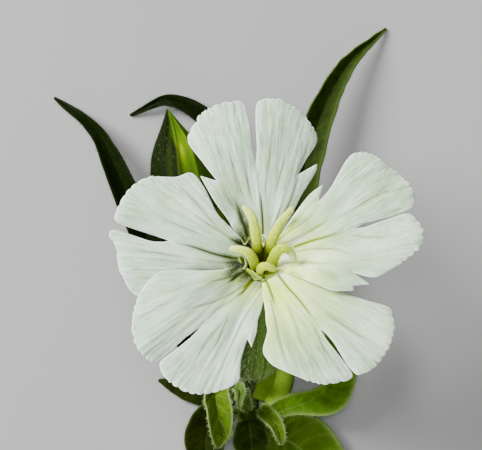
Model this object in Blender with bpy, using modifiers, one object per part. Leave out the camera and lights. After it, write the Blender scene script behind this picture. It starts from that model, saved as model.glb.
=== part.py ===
"""White campion flower, picked with the tip of its stem and lying on a table.

The open flower faces up. Its calyx, the bud and the leaves join at short nodes
near the top of the stem, which runs along -Y to its cut end. Lengths are in
millimetres in the tables below and metres in Blender. Flower parts are placed
from the throat. The rest is placed from the spot on the table below the throat.
"""

import math

import bpy
from mathutils import Vector
from mathutils.geometry import delaunay_2d_cdt

MM = 0.001
OBJECT = "white_campion_flower"

# Driving dimensions, mm and degrees.
THROAT = (3.1, 5.4, 22.0)          # the origin is on the table, at the centre of the footprint
LIMB_TILT = 24.0                   # how far the flower's face leans towards +Y
LIMB_FUNNEL = 8.0                  # how far the petals rise from that face
CALYX_TILT = 32.0                  # the tube leans further than the face
CALYX_YAW = 84.0                   # plan direction the tube points, from its base to the throat
THROAT_RADIUS = 1.65               # claws stand this far from the axis at the throat
PETAL_THICKNESS = 0.34
LEAF_THICKNESS = 0.36
CALYX_WALL = 0.3
STEM_RADIUS = 1.1
STEM_X = -1.3                      # the stem lies parallel to Y
STEM_CUT_Y, STEM_TOP_Y = -35.0, -13.9

# A petal half runs from the claw to the notch between the two lobes, as (along, across) from the
# throat. A point marked SHARP is a corner: a tooth's tip, or the bottom of the cut beside it.
SHARP = "sharp"
PETALS = {
    "petal_top": {
        "limb": 93.4, "claw": 90.0, "lift": (0.0, 0.0), "notch": 9.8,
        "right": [(2.3, 1.1), (4.1, 2.6), (6.5, 4.3), (8.7, 5.6), (9.5, 5.8, SHARP), (8.5, 3.9, SHARP),
                  (10.0, 4.9), (11.9, 6.1), (14.0, 5.5), (15.5, 4.1), (16.2, 3.0), (16.4, 1.4),
                  (15.7, 0.5), (13.9, 0.3), (11.4, 0.25)],
        "left": [(2.4, 1.2), (4.4, 2.8), (6.6, 4.3), (9.0, 5.4, SHARP), (8.4, 3.8, SHARP), (10.6, 5.3),
                 (12.5, 6.5), (13.8, 6.0), (15.1, 5.2), (16.0, 3.7), (16.3, 1.6), (15.6, 0.6),
                 (13.4, 0.3), (11.4, 0.25)],
    },
    "petal_right": {
        "limb": 22.1, "claw": 18.0, "lift": (0.0, 0.5), "notch": 9.4,
        "right": [(2.1, 1.1), (3.1, 2.2), (4.3, 3.5), (5.3, 4.55), (6.2, 4.95), (7.2, 5.3, SHARP),
                  (7.3, 4.9, SHARP), (8.8, 5.3, SHARP), (7.8, 3.8, SHARP), (9.0, 4.7), (10.0, 5.0),
                  (12.3, 4.5), (14.5, 3.9), (15.3, 2.6), (15.3, 1.4), (14.8, 0.7), (12.6, 0.45),
                  (10.6, 0.3)],
        "left": [(2.4, 1.3), (4.1, 2.8), (6.9, 4.7), (8.4, 5.0, SHARP), (7.3, 3.6, SHARP), (8.9, 4.4),
                 (11.5, 6.4), (12.7, 6.6), (14.3, 5.4), (15.5, 3.8), (16.2, 1.9), (16.1, 0.6),
                 (15.2, -0.1), (12.7, -0.1), (10.6, 0.1)],
    },
    "petal_lower_right": {
        "limb": -47.0, "claw": -54.0, "lift": (-0.5, 0.0), "notch": 8.0,
        "right": [(2.1, 1.2), (2.9, 2.2), (4.9, 3.9), (5.8, 5.3), (6.5, 5.6), (7.5, 5.6), (9.1, 4.9),
                  (11.0, 3.9), (12.1, 3.1), (13.0, 1.8), (13.3, 1.0), (12.8, 0.65), (10.8, 0.5), (9.0, 0.3)],
        "left": [(2.0, 0.9), (3.2, 1.8), (5.0, 3.0), (7.0, 3.75), (9.1, 4.95), (11.0, 6.1), (12.2, 5.9),
                 (13.3, 4.8), (13.9, 3.2), (14.1, 1.2), (13.7, 0.0), (13.3, -0.4), (12.0, -0.35),
                 (10.0, 0.0), (8.8, 0.1)],
    },
    "petal_lower_left": {
        "limb": 224.8, "claw": 234.0, "lift": (0.0, 0.75), "notch": 7.8,
        "right": [(2.0, 1.0), (3.6, 2.7), (5.2, 4.5), (6.5, 5.9), (7.3, 6.5), (8.5, 6.7), (10.0, 6.4),
                  (11.6, 5.4), (12.7, 4.2), (13.6, 2.8), (13.7, 1.3), (13.3, 0.8), (12.3, 0.6),
                  (9.8, 0.4)],
        "left": [(2.0, 1.7), (3.8, 3.2), (4.8, 3.9), (6.1, 4.5, SHARP), (5.8, 3.8, SHARP), (7.6, 4.8),
                 (8.9, 5.9), (9.6, 5.95), (10.6, 5.4), (12.2, 4.4), (13.3, 2.9), (13.7, 1.0),
                 (13.4, -0.2), (12.9, -0.4), (12.1, -0.3), (9.6, 0.0)],
    },
    "petal_left": {
        "limb": 164.8, "claw": 162.0, "lift": (-0.75, 0.0), "notch": 9.1,
        "right": [(2.3, 1.3), (3.9, 2.5), (5.6, 3.9), (7.4, 5.9), (8.9, 6.9), (10.2, 6.1), (11.7, 5.7),
                  (12.9, 5.35), (14.3, 3.7), (14.9, 1.3), (14.5, 0.5), (12.5, 0.3), (10.4, 0.15)],
        "left": [(2.2, 0.7), (3.4, 1.4), (5.0, 2.4), (7.1, 3.6), (9.0, 5.2), (10.5, 5.9), (11.9, 5.2),
                 (13.1, 3.8), (14.0, 1.9), (14.9, 1.0), (14.6, 0.3), (13.3, 0.3), (11.0, 0.4),
                 (9.8, 0.25)],
    },
}

# Each style: the direction it leaves the ovary in, then (x, y, height above the throat), mm.
STYLES = {
    "style_upper_left": (117.0, [(-0.33, 0.28, -0.9), (-0.5, 1.3, 0.1), (-0.65, 2.4, 0.8),
                                 (-0.75, 3.3, 1.1), (-1.1, 4.2, 1.2), (-1.7, 5.4, 0.9)]),
    "style_upper_right": (45.0, [(0.55, 0.16, -0.8), (0.9, 1.6, 0.2), (1.35, 3.1, 0.9),
                                 (1.8, 4.1, 1.0), (2.3, 4.8, 1.0), (3.0, 5.6, 0.8)]),
    "style_left": (189.0, [(-0.78, -0.43, -0.45), (-1.0, 0.1, 0.5), (-1.15, 0.8, 1.2),
                           (-1.6, 1.4, 1.5), (-2.3, 1.6, 1.4), (-3.0, 1.65, 1.2)]),
    "style_right": (333.0, [(0.72, -0.62, -0.3), (1.0, 0.5, 0.7), (1.5, 1.5, 1.6), (2.1, 1.7, 1.9),
                            (2.65, 1.45, 1.7), (2.95, 0.95, 1.4), (3.05, 0.4, 1.1)]),
    "style_front": (261.0, [(-0.13, -0.95, -0.1), (-0.15, -0.6, 0.6), (0.05, -0.25, 1.15),
                            (0.4, -0.1, 1.3), (0.9, -0.25, 1.15), (1.3, -0.5, 0.9)]),
}
STYLE_RADII = (0.28, 0.32, 0.31, 0.28, 0.25, 0.2)

# Leaves: centre line (x, y, height), greatest half width, fold of the two halves, width at the base.
LEAVES = {
    "bract_left": {
        "line": [(-2.85, -14.1, 1.0), (-5.2, -11.2, 1.9), (-7.4, -7.0, 2.2), (-11.6, 2.6, 2.4),
                 (-14.3, 8.5, 2.4), (-16.8, 13.5, 1.8), (-21.2, 17.0, 0.2)],
        "width": 1.8, "fold": 34.0, "base": 0.4},
    "bract_right": {
        "line": [(0.35, -14.2, 1.0), (1.5, -11.6, 1.3), (2.7, -4.0, 1.9), (3.9, 7.0, 2.2),
                 (6.2, 15.2, 2.0), (9.0, 20.4, 1.5), (12.9, 24.1, 0.2)],
        "width": 2.0, "fold": 34.0, "base": 0.4},
    "leaf_right_upper": {
        "line": [(0.2, -15.9, 1.3), (2.3, -14.9, 2.5), (5.4, -13.8, 2.9), (7.5, -11.9, 2.7),
                 (8.5, -8.0, 2.9), (7.9, -2.4, 4.6)],
        "width": 2.2, "fold": 24.0, "base": 0.5},
    "leaf_right_lower": {
        "line": [(0.2, -17.4, 0.9), (2.6, -18.1, 0.5), (5.4, -20.2, 0.4), (8.2, -23.8, 0.3),
                 (10.2, -28.2, 0.2)],
        "width": 3.2, "fold": 10.0, "base": 0.5},
    "leaf_left_folded": {
        "line": [(-2.45, -15.3, 2.1), (-4.3, -13.8, 4.4), (-4.6, -13.5, 6.2), (-4.3, -15.6, 6.2),
                 (-4.4, -18.8, 3.2)],
        "width": 1.5, "fold": 42.0, "base": 0.4},
    "leaf_left_small": {
        "line": [(-1.3, -15.0, 2.6), (-1.8, -13.5, 4.4), (-2.2, -12.6, 6.0), (-2.1, -13.0, 7.2),
                 (-2.2, -14.6, 6.9)],
        "width": 0.75, "fold": 30.0, "base": 0.3},
    "leaf_left_lower": {
        "line": [(-2.8, -16.5, 1.2), (-4.5, -16.3, 0.8), (-5.6, -17.8, 0.6), (-5.4, -20.8, 0.4),
                 (-4.2, -24.5, 0.2)],
        "width": 2.3, "fold": 22.0, "base": 0.5},
    "leaf_left_back": {
        "line": [(-2.75, -14.9, 0.6), (-5.4, -13.4, 0.3), (-8.0, -12.8, 0.2), (-10.5, -12.0, 0.2)],
        "width": 1.3, "fold": 5.0, "base": 0.4},
    "leaf_front": {
        "line": [(-1.3, -16.0, 2.75), (-1.1, -17.2, 3.4), (-0.9, -19.0, 3.5), (-0.7, -21.5, 3.0),
                 (-0.6, -24.0, 2.7)],
        "width": 1.75, "fold": 20.0, "base": 0.4},
    "leaf_right_young": {
        "line": [(0.0, -14.8, 2.5), (0.7, -15.3, 4.0), (1.5, -16.2, 4.7), (2.0, -17.4, 4.7),
                 (2.1, -18.4, 4.1)],
        "width": 0.8, "fold": 30.0, "base": 0.3},
    "bud_bract": {
        "line": [(-5.0, -0.8, 2.5), (-4.0, 3.0, 1.4), (-3.5, 9.0, 1.1), (-5.2, 14.3, 1.3),
                 (-9.3, 16.7, 1.2), (-13.4, 15.2, 0.2)],
        "width": 1.1, "fold": 25.0, "base": 0.3},
}
LEAF_ROWS, LEAF_COLUMNS = 16, 6
LEAF_TIP_HALF_WIDTH = 0.1
LEAF_ROUNDNESS = 1.4               # 1 folds the leaf into a V, more rounds the bottom of the fold

BUD_BASE = (-6.8, 1.9, 3.1)
BUD_TIP = (-9.5, 15.8, 3.4)
BUD_STALK = [(-2.35, -13.8, 2.4), (-3.0, -11.5, 2.9), (-4.7, -5.0, 2.8), (-6.65, 1.5, 3.1)]
BUD_STALK_RADII = (0.6, 0.55, 0.6, 0.8)
PEDICEL = [(-1.3, -13.6, 1.1), (-1.3, -13.1, 1.2), (-1.27, -12.5, 1.9)]   # it then joins the calyx axis
PEDICEL_TOP = (-22.2, -19.3)       # along the calyx axis, from the throat
PEDICEL_RADII = (0.9, 0.8, 0.8, 0.9)

# Turned profiles: (distance along the axis, radius). Those in the flower start from the throat.
CALYX_PROFILE = [(-19.0, 1.05), (-18.6, 1.7), (-17.6, 2.7), (-15.8, 3.4), (-13.2, 3.6), (-10.0, 3.35),
                 (-6.6, 2.85), (-3.8, 2.55), (-2.1, 2.42)]
TEETH, COLUMNS_PER_TOOTH = 5, 6
TOOTH_LENGTH, TOOTH_FLARE, TOOTH_NOTCH = 1.5, 0.5, 0.12
RIB_EVERY, RIB_HEIGHT = 3, 0.02    # columns from rib to rib, and its height as a share of the radius
OVARY_PROFILE = [(-15.4, 0.0), (-15.3, 0.7), (-14.4, 1.4), (-12.8, 1.9), (-10.6, 1.8), (-8.4, 1.2),
                 (-7.0, 0.8), (-6.9, 0.0)]
RECEPTACLE_PROFILE = [(-18.7, 0.0), (-18.6, 0.7), (-17.4, 0.65), (-15.9, 0.9), (-15.7, 0.0)]
BUD_PROFILE = [(0.0, 0.0), (0.15, 1.0), (1.2, 2.1), (2.8, 2.8), (5.2, 3.2), (7.4, 3.15), (9.2, 2.75),
               (10.7, 2.05), (12.3, 1.05), (13.4, 0.45), (14.2, 0.0)]

# Petals: the claw's distance from the axis and its half width, both along the tube from the throat.
CLAW_OUT = [(-15.4, 1.5), (-14.4, 2.4), (-12.0, 2.6), (-8.0, 2.25), (-4.0, 1.78), (-1.5, 1.65), (3.0, 1.65)]
CLAW_HALF_WIDTH = [(-13.7, 0.48), (-8.0, 0.6), (0.0, 0.75), (1.2, 0.8)]
CLAW_STATIONS = (-13.7, -11.0, -8.0, -5.0, -2.5, -0.8, 0.6)
BEND_START, BEND_END = 0.6, 3.0    # where the claw turns over into the limb
LIMB_BEND = 0.008                  # the outer limb bends back, mm per square mm
LIMB_BEND_FROM = 6.0
LIMB_CROWN = 0.010                 # and so do its two sides
LIFT_START, LIFT_SPAN = 0.5, 2.5   # where a side that lies over or under its neighbour leaves the face
PETAL_EDGE_STEP = 0.35             # points of an outline keep this far apart
PETAL_LATTICE = 1.4                # spacing of the points inside it
LATTICE_ROW = 0.87                 # a triangular lattice's row, as a share of its spacing

# Styles leave the ovary here: (along the axis from the throat, distance from it).
STYLE_ROOTS = [(-6.5, 0.56), (-4.0, 0.76)]

FINISHES = {  # sRGB colour, roughness
    "petal": ((0.80, 0.84, 0.79), 0.55),
    "style": ((0.72, 0.75, 0.30), 0.5),
    "calyx": ((0.38, 0.49, 0.20), 0.6),
    "stem": ((0.34, 0.44, 0.16), 0.55),
    "leaf": ((0.28, 0.40, 0.06), 0.5),
    "bud": ((0.40, 0.50, 0.10), 0.5),
    "ovary": ((0.55, 0.65, 0.25), 0.45),
}


# ---------------------------------------------------------------- numbers and curves

def smooth_step(x):
    x = min(max(x, 0.0), 1.0)
    return x * x * (3.0 - 2.0 * x)


def read_profile(profile, x):
    """The value at x of a profile of (position, value) pairs."""
    for (x0, y0), (x1, y1) in zip(profile, profile[1:]):
        if x <= x1:
            return y0 + (y1 - y0) * max(0.0, (x - x0) / (x1 - x0))
    return profile[-1][1]


def smooth_line(points, per_span):
    """Catmull-Rom curve through the points, with per_span pieces between two neighbours."""
    points = [Vector(p) for p in points]
    ends = [2 * points[0] - points[1], *points, 2 * points[-1] - points[-2]]
    line = []
    for a, b, c, d in zip(ends, ends[1:], ends[2:], ends[3:]):
        for i in range(per_span):
            t = i / per_span
            line.append(0.5 * (2 * b + (c - a) * t + (2 * a - 5 * b + 4 * c - d) * t ** 2
                               + (3 * b - a - 3 * c + d) * t ** 3))
    line.append(points[-1])
    return line


# ---------------------------------------------------------------- scene, objects, materials

def clear_scene():
    for obj in list(bpy.data.objects):
        bpy.data.objects.remove(obj, do_unlink=True)


def linear(channel):
    return channel / 12.92 if channel <= 0.04045 else ((channel + 0.055) / 1.055) ** 2.4


def make_material(name, srgb, roughness):
    material = bpy.data.materials.new(name)
    material.use_nodes = True
    shader = material.node_tree.nodes["Principled BSDF"]
    shader.inputs["Base Color"].default_value = (*map(linear, srgb), 1.0)
    shader.inputs["Roughness"].default_value = roughness
    shader.inputs["Metallic"].default_value = 0.0
    return material


def add_anchor(name, place, parts):
    """An empty that pieces are parented to, so that their own lengths start from it."""
    anchor = bpy.data.objects.new(name, None)
    anchor.location = Vector(place) * MM
    anchor.empty_display_size = 5.0 * MM
    parts.objects.link(anchor)
    return anchor


def add_object(name, data, material, anchor):
    data.materials.append(material)
    obj = bpy.data.objects.new(name, data)
    obj.parent = anchor
    anchor.users_collection[0].objects.link(obj)
    return obj


def add_mesh(name, points, faces, material, anchor):
    mesh = bpy.data.meshes.new(name)
    mesh.from_pydata([tuple(p * MM) for p in points], [], faces)
    mesh.shade_smooth()
    return add_object(name, mesh, material, anchor)


def thicken(obj, thickness, offset=0.0):
    """Gives an open sheet its thickness, half on each side unless an offset says otherwise."""
    shell = obj.modifiers.new("thickness", "SOLIDIFY")
    shell.thickness = thickness * MM
    shell.offset = offset
    shell.use_even_offset = False


def add_tube(name, points, radii, material, anchor, bevel_resolution=2):
    """A round stalk along a smooth line. Its radius follows the radii, spread along its length."""
    line = smooth_line(points, 3)
    curve = bpy.data.curves.new(name, "CURVE")
    curve.dimensions = "3D"
    curve.bevel_depth = MM
    curve.bevel_resolution = bevel_resolution
    curve.use_fill_caps = True
    spline = curve.splines.new("POLY")
    spline.points.add(len(line) - 1)
    spread = [(i / (len(radii) - 1), radius) for i, radius in enumerate(radii)]
    for i, (point, place) in enumerate(zip(spline.points, line)):
        point.co = (*(place * MM), 1.0)
        point.radius = read_profile(spread, i / (len(line) - 1))
    return add_object(name, curve, material, anchor)


def add_turned(name, profile, base, axis, material, anchor, steps):
    """Turns a profile of (along, radius) about the axis, with a Screw modifier."""
    mesh = bpy.data.meshes.new(name)
    corners = [(radius * MM, 0.0, along * MM) for along, radius in reversed(profile)]
    mesh.from_pydata(corners, [(i, i + 1) for i in range(len(corners) - 1)], [])
    obj = add_object(name, mesh, material, anchor)
    obj.location = Vector(base) * MM
    obj.rotation_euler = axis.to_track_quat("Z", "Y").to_euler()
    screw = obj.modifiers.new("turn", "SCREW")
    screw.steps = screw.render_steps = steps
    screw.use_merge_vertices = True
    screw.merge_threshold = 1e-5
    screw.use_smooth_shade = True
    return obj


# ---------------------------------------------------------------- the flower's axis

def tube_axis():
    """Unit vector from the base of the calyx to the throat."""
    lean, yaw = math.radians(CALYX_TILT), math.radians(CALYX_YAW)
    return Vector((math.cos(yaw) * math.sin(lean), math.sin(yaw) * math.sin(lean), math.cos(lean)))


AXIS = tube_axis()
ACROSS = (Vector((1.0, 0.0, 0.0)) - AXIS * AXIS.x).normalized()
AROUND = AXIS.cross(ACROSS)


def on_axis(along, radius=0.0, angle=0.0):
    """A point beside the tube's axis, from the throat."""
    return AXIS * along + (ACROSS * math.cos(angle) + AROUND * math.sin(angle)) * radius


# ---------------------------------------------------------------- petals

def limb_height(petal, u, v):
    """Height of the limb over the throat: the face leans, and each petal rises and then bends back."""
    heading = math.radians(petal["limb"])
    y = u * math.sin(heading) + v * math.cos(heading)
    rise = math.tan(math.radians(LIMB_FUNNEL)) * math.hypot(u, v) - math.tan(math.radians(LIMB_TILT)) * y
    bend = LIMB_BEND * max(0.0, u - LIMB_BEND_FROM) ** 2 + LIMB_CROWN * v * v
    lift = petal["lift"][0] if v > 0 else petal["lift"][1]
    return rise - bend + lift * smooth_step((abs(v) - LIFT_START) / LIFT_SPAN)


def petal_point(petal, u, v):
    """Maps the flat petal (u along, v across) onto its claw in the tube and its limb over the throat."""
    heading = math.radians(petal["limb"])
    limb = Vector((u * math.cos(heading) - v * math.sin(heading),
                   u * math.sin(heading) + v * math.cos(heading),
                   limb_height(petal, u, v)))
    along = u - THROAT_RADIUS
    radius = read_profile(CLAW_OUT, along)
    claw = on_axis(along, radius, math.radians(petal["claw"]) + v / radius)
    return claw.lerp(limb, smooth_step((u - BEND_START) / (BEND_END - BEND_START)))


def half_outline(points, side):
    """One edge of the limb from the claw to the notch: smooth between its sharp corners."""
    edge, run = [], []
    for i, point in enumerate(points):
        run.append(Vector((point[0], point[1] * side)))
        if len(point) == 3 or i == len(points) - 1:
            edge += run[:1] if len(run) == 1 else smooth_line(run, 2)[:-1]
            run = run[-1:]
    edge.append(run[-1])
    spaced = edge[:1]
    for point in edge[1:]:
        if (point - spaced[-1]).length > PETAL_EDGE_STEP:
            spaced.append(point)
    return spaced


def petal_outline(petal):
    claw = [(u, read_profile(CLAW_HALF_WIDTH, u)) for u in CLAW_STATIONS]
    right = [Vector((u, -w)) for u, w in claw] + half_outline(petal["right"], -1)
    left = [Vector((u, w)) for u, w in claw] + half_outline(petal["left"], 1)
    return right + [Vector((petal["notch"], 0.0))] + left[::-1]


def inside(outline, point, margin):
    """True if the point lies in the outline and at least margin from its edge."""
    crossings = 0
    for a, b in zip(outline, outline[1:] + outline[:1]):
        if (a.y > point.y) != (b.y > point.y):
            if point.x < a.x + (point.y - a.y) * (b.x - a.x) / (b.y - a.y):
                crossings += 1
        edge = b - a
        share = min(max((point - a).dot(edge) / edge.length_squared, 0.0), 1.0)
        if (a + edge * share - point).length < margin:
            return False
    return crossings % 2 == 1


def fill_points(outline, spacing):
    """A triangular lattice of points inside the outline."""
    reach = max(p.length for p in outline)
    rows = int(reach / (spacing * LATTICE_ROW))
    columns = int(reach / spacing)
    found = []
    for row in range(-rows, rows + 1):
        for column in range(-columns, columns + 1):
            point = Vector((row * spacing * LATTICE_ROW, (column + 0.5 * (row % 2)) * spacing))
            if inside(outline, point, spacing * 0.5):
                found.append(point)
    return found


def add_petal(name, petal, material, anchor):
    outline = petal_outline(petal)
    corners = list(range(len(outline)))
    edges = list(zip(corners, corners[1:] + corners[:1]))
    points = outline + fill_points(outline, PETAL_LATTICE)
    flat, _, faces, *_ = delaunay_2d_cdt(points, edges, [corners], 1, 1e-6)
    obj = add_mesh(name, [petal_point(petal, p.x, p.y) for p in flat], faces, material, anchor)
    thicken(obj, PETAL_THICKNESS)


# ---------------------------------------------------------------- calyx and leaves

def calyx_point(along, radius, reach, column):
    """A point of the tube, or of a tooth once reach is more than 0, where 1 is the tooth's tip."""
    columns = TEETH * COLUMNS_PER_TOOTH
    half = COLUMNS_PER_TOOTH / 2
    tooth = 1.0 - abs(column % COLUMNS_PER_TOOTH - half) / half
    grow = reach * (TOOTH_NOTCH + (1.0 - TOOTH_NOTCH) * tooth)
    rib = RIB_HEIGHT if column % RIB_EVERY == 0 else -RIB_HEIGHT
    return on_axis(along + grow * TOOTH_LENGTH, radius * (1.0 + rib) + grow * grow * TOOTH_FLARE,
                   2 * math.pi * column / columns)


def add_calyx(material, anchor):
    """A ribbed tube, widest low down, whose mouth ends in five short teeth that flare outward."""
    columns = TEETH * COLUMNS_PER_TOOTH
    mouth, mouth_radius = CALYX_PROFILE[-1]
    rings = [(along, radius, 0.0) for along, radius in CALYX_PROFILE]
    rings += [(mouth, mouth_radius, 0.5), (mouth, mouth_radius, 1.0)]
    points = [calyx_point(*ring, column) for ring in rings for column in range(columns)]
    faces = []
    for low in range(0, (len(rings) - 1) * columns, columns):
        for i in range(columns):
            j = (i + 1) % columns
            faces.append((low + i, low + j, low + columns + j, low + columns + i))
    thicken(add_mesh("calyx", points, faces, material, anchor), CALYX_WALL, -1.0)


def leaf_half_width(leaf, share):
    """Lanceolate: widest near two fifths of the length, with a stalk-like base and a fine tip."""
    blade = math.sin(math.pi * share ** 0.75) ** 0.9 if 0 < share < 1 else 0.0
    return leaf["width"] * blade + leaf["base"] * (1.0 - share) ** 4 + LEAF_TIP_HALF_WIDTH


def add_leaf(name, leaf, material, anchor):
    """A sheet folded along its midrib, which follows the leaf's line and goes no lower than the table."""
    line = smooth_line(leaf["line"], LEAF_ROWS // (len(leaf["line"]) - 1) + 1)
    fold = math.radians(leaf["fold"])
    points = []
    for i, place in enumerate(line):
        ahead = (line[min(i + 1, len(line) - 1)] - line[max(i - 1, 0)]).normalized()
        side = ahead.cross(Vector((0.0, 0.0, 1.0))).normalized()
        up = side.cross(ahead)
        width = leaf_half_width(leaf, i / (len(line) - 1))
        for column in range(LEAF_COLUMNS + 1):
            t = 2.0 * column / LEAF_COLUMNS - 1.0
            rise = abs(t) ** LEAF_ROUNDNESS * math.sin(fold)
            point = place + width * (side * t * math.cos(fold) + up * rise)
            point.z = max(point.z, LEAF_THICKNESS / 2)
            points.append(point)
    wide = LEAF_COLUMNS + 1
    faces = []
    for row in range(len(line) - 1):
        for corner in range(row * wide, row * wide + LEAF_COLUMNS):
            faces.append((corner, corner + 1, corner + wide + 1, corner + wide))
    thicken(add_mesh(name, points, faces, material, anchor), LEAF_THICKNESS)


# ---------------------------------------------------------------- assembly

def build_flower(look, throat):
    for name, petal in PETALS.items():
        add_petal(name, petal, look["petal"], throat)
    add_calyx(look["calyx"], throat)
    add_turned("receptacle", RECEPTACLE_PROFILE, (0, 0, 0), AXIS, look["ovary"], throat, 10)
    add_turned("ovary", OVARY_PROFILE, (0, 0, 0), AXIS, look["ovary"], throat, 12)
    for name, (heading, line) in STYLES.items():
        root = [on_axis(along, radius, math.radians(heading)) for along, radius in STYLE_ROOTS]
        add_tube(name, root + line, STYLE_RADII, look["style"], throat, bevel_resolution=1)


def build_stalks(look, below):
    up = Vector((0.0, 0.0, THROAT[2]))
    top = [on_axis(along) + up for along in PEDICEL_TOP]
    add_tube("pedicel", PEDICEL + top, PEDICEL_RADII, look["stem"], below)
    stem = [(STEM_X, STEM_CUT_Y, STEM_RADIUS), (STEM_X, STEM_TOP_Y, STEM_RADIUS)]
    add_tube("stem", stem, (STEM_RADIUS, STEM_RADIUS), look["stem"], below)
    add_tube("bud_stalk", BUD_STALK, BUD_STALK_RADII, look["stem"], below)


def build_bud(look, below):
    axis = (Vector(BUD_TIP) - Vector(BUD_BASE)).normalized()
    add_turned("bud", BUD_PROFILE, BUD_BASE, axis, look["bud"], below, 14)


def build():
    clear_scene()
    parts = bpy.data.collections.new(OBJECT)
    bpy.context.scene.collection.children.link(parts)
    look = {name: make_material(name, *finish) for name, finish in FINISHES.items()}
    throat = add_anchor("throat", THROAT, parts)
    below = add_anchor("below_throat", (THROAT[0], THROAT[1], 0.0), parts)

    build_flower(look, throat)
    build_stalks(look, below)
    build_bud(look, below)
    for name, leaf in LEAVES.items():
        add_leaf(name, leaf, look["leaf"], below)


build()
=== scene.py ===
"""White campion flower, picked with the tip of its stem and lying on a table.

Every part of the shoot is a piece of its own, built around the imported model. Lengths in the
tables are in millimetres. Flower parts are placed from the throat, and the rest from the spot on
the table below the throat. The tables and the petals' mapping follow those of the part's source,
in finer detail.
"""

import math

import bpy
import numpy as np
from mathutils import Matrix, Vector
from mathutils.geometry import delaunay_2d_cdt


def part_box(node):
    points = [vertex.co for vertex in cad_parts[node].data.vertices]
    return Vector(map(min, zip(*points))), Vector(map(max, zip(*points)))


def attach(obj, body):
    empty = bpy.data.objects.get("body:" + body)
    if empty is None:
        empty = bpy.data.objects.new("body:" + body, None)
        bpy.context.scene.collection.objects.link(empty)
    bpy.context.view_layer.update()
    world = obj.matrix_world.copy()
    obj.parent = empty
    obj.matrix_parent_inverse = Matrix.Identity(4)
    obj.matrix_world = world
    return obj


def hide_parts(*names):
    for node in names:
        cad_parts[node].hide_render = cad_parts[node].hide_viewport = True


bl_info = {
    "name": "White Campion Flower",
    "version": (1, 0, 0),
    "blender": (4, 5, 0),
    "location": "3D View > Sidebar > Campion",
    "description": "Builds a picked white campion flower with its leaves, bud and stem",
    "category": "Add Mesh",
}

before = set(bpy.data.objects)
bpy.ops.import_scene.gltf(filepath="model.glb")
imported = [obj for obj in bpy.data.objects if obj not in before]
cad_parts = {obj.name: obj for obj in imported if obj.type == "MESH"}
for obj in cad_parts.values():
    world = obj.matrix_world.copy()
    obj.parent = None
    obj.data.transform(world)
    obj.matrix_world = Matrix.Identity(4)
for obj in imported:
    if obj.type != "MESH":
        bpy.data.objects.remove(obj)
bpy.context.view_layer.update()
MM = 0.001

# ---------------------------------------------------------------- the shoot's own sizes

STEM_X, STEM_CUT_Y, STEM_TOP_Y, STEM_RADIUS = -1.3, -35.0, -13.9, 1.1
THROAT_HEIGHT = 22.0
STEM_LOW, STEM_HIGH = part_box("stem")
BELOW = np.array([(STEM_LOW.x + STEM_HIGH.x) / 2 / MM - STEM_X, STEM_LOW.y / MM - STEM_CUT_Y, 0.0])
THROAT = BELOW + (0.0, 0.0, THROAT_HEIGHT)

LIMB_TILT, LIMB_FUNNEL = 24.0, 8.0       # the face's lean and the petals' rise, in degrees
LIMB_BEND, LIMB_BEND_FROM = 0.008, 6.0   # a petal bends back beyond a distance from the throat
LIMB_CROWN = 0.010                       # and its sides bend down
LIFT_START, LIFT_SPAN = 0.5, 2.5         # where beside its middle a raised half begins to rise
BEND_START, BEND_END = 0.6, 3.0          # where along a petal its claw turns into its limb
CALYX_TILT, CALYX_YAW = 32.0, 84.0       # the calyx's lean from upright and its heading, in degrees
THROAT_RADIUS = 1.65
TOOTH_LENGTH, TOOTH_FLARE, TOOTH_NOTCH = 1.5, 0.5, 0.12
LEAF_FLOOR = 0.18                  # a leaf's middle surface lies no lower than this
LEAF_TIP_HALF_WIDTH = 0.1
LEAF_ROUNDNESS = 1.4               # a leaf's fold is sharp at 1, and rounder above it
LEAF_VEIN_GAP = 1.6
ABOVE_TABLE = 0.02                 # no hair's tip comes closer to the table than this
LEAF_HAIR_FLOOR = 0.06             # no hair of a leaf starts closer to the table than this
THINNEST = 0.25                    # share of its thickness that a blade keeps at its edge
HAIR_SCATTER, HAIR_DROOP, HAIR_BEND = 0.28, 0.25, 0.55
HAIR_SHORTEST, HAIR_LONGEST = 0.55, 1.2
HAIR_ROOT = 0.03                   # how deep a hair stands in its piece
STYLE_FLATNESS = 0.55
SCALLOP_WIDTH = 0.75
PITH_EDGE = 0.55                   # share of a cut end's radius where its pale pith ends
SHEET_ALONG, SHEET_ACROSS = (-14.0, 17.0), (-8.0, 8.0)
ROW_PITCH = 0.87                   # distance between rows of even triangles, as a share of their side
BESIDE_LINE = (-1.2, -0.6, 0.0, 0.6, 1.2)   # rows of points along a petal's line, in its half widths
MERGED = 0.05                      # points of a petal closer than this become one

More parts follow.
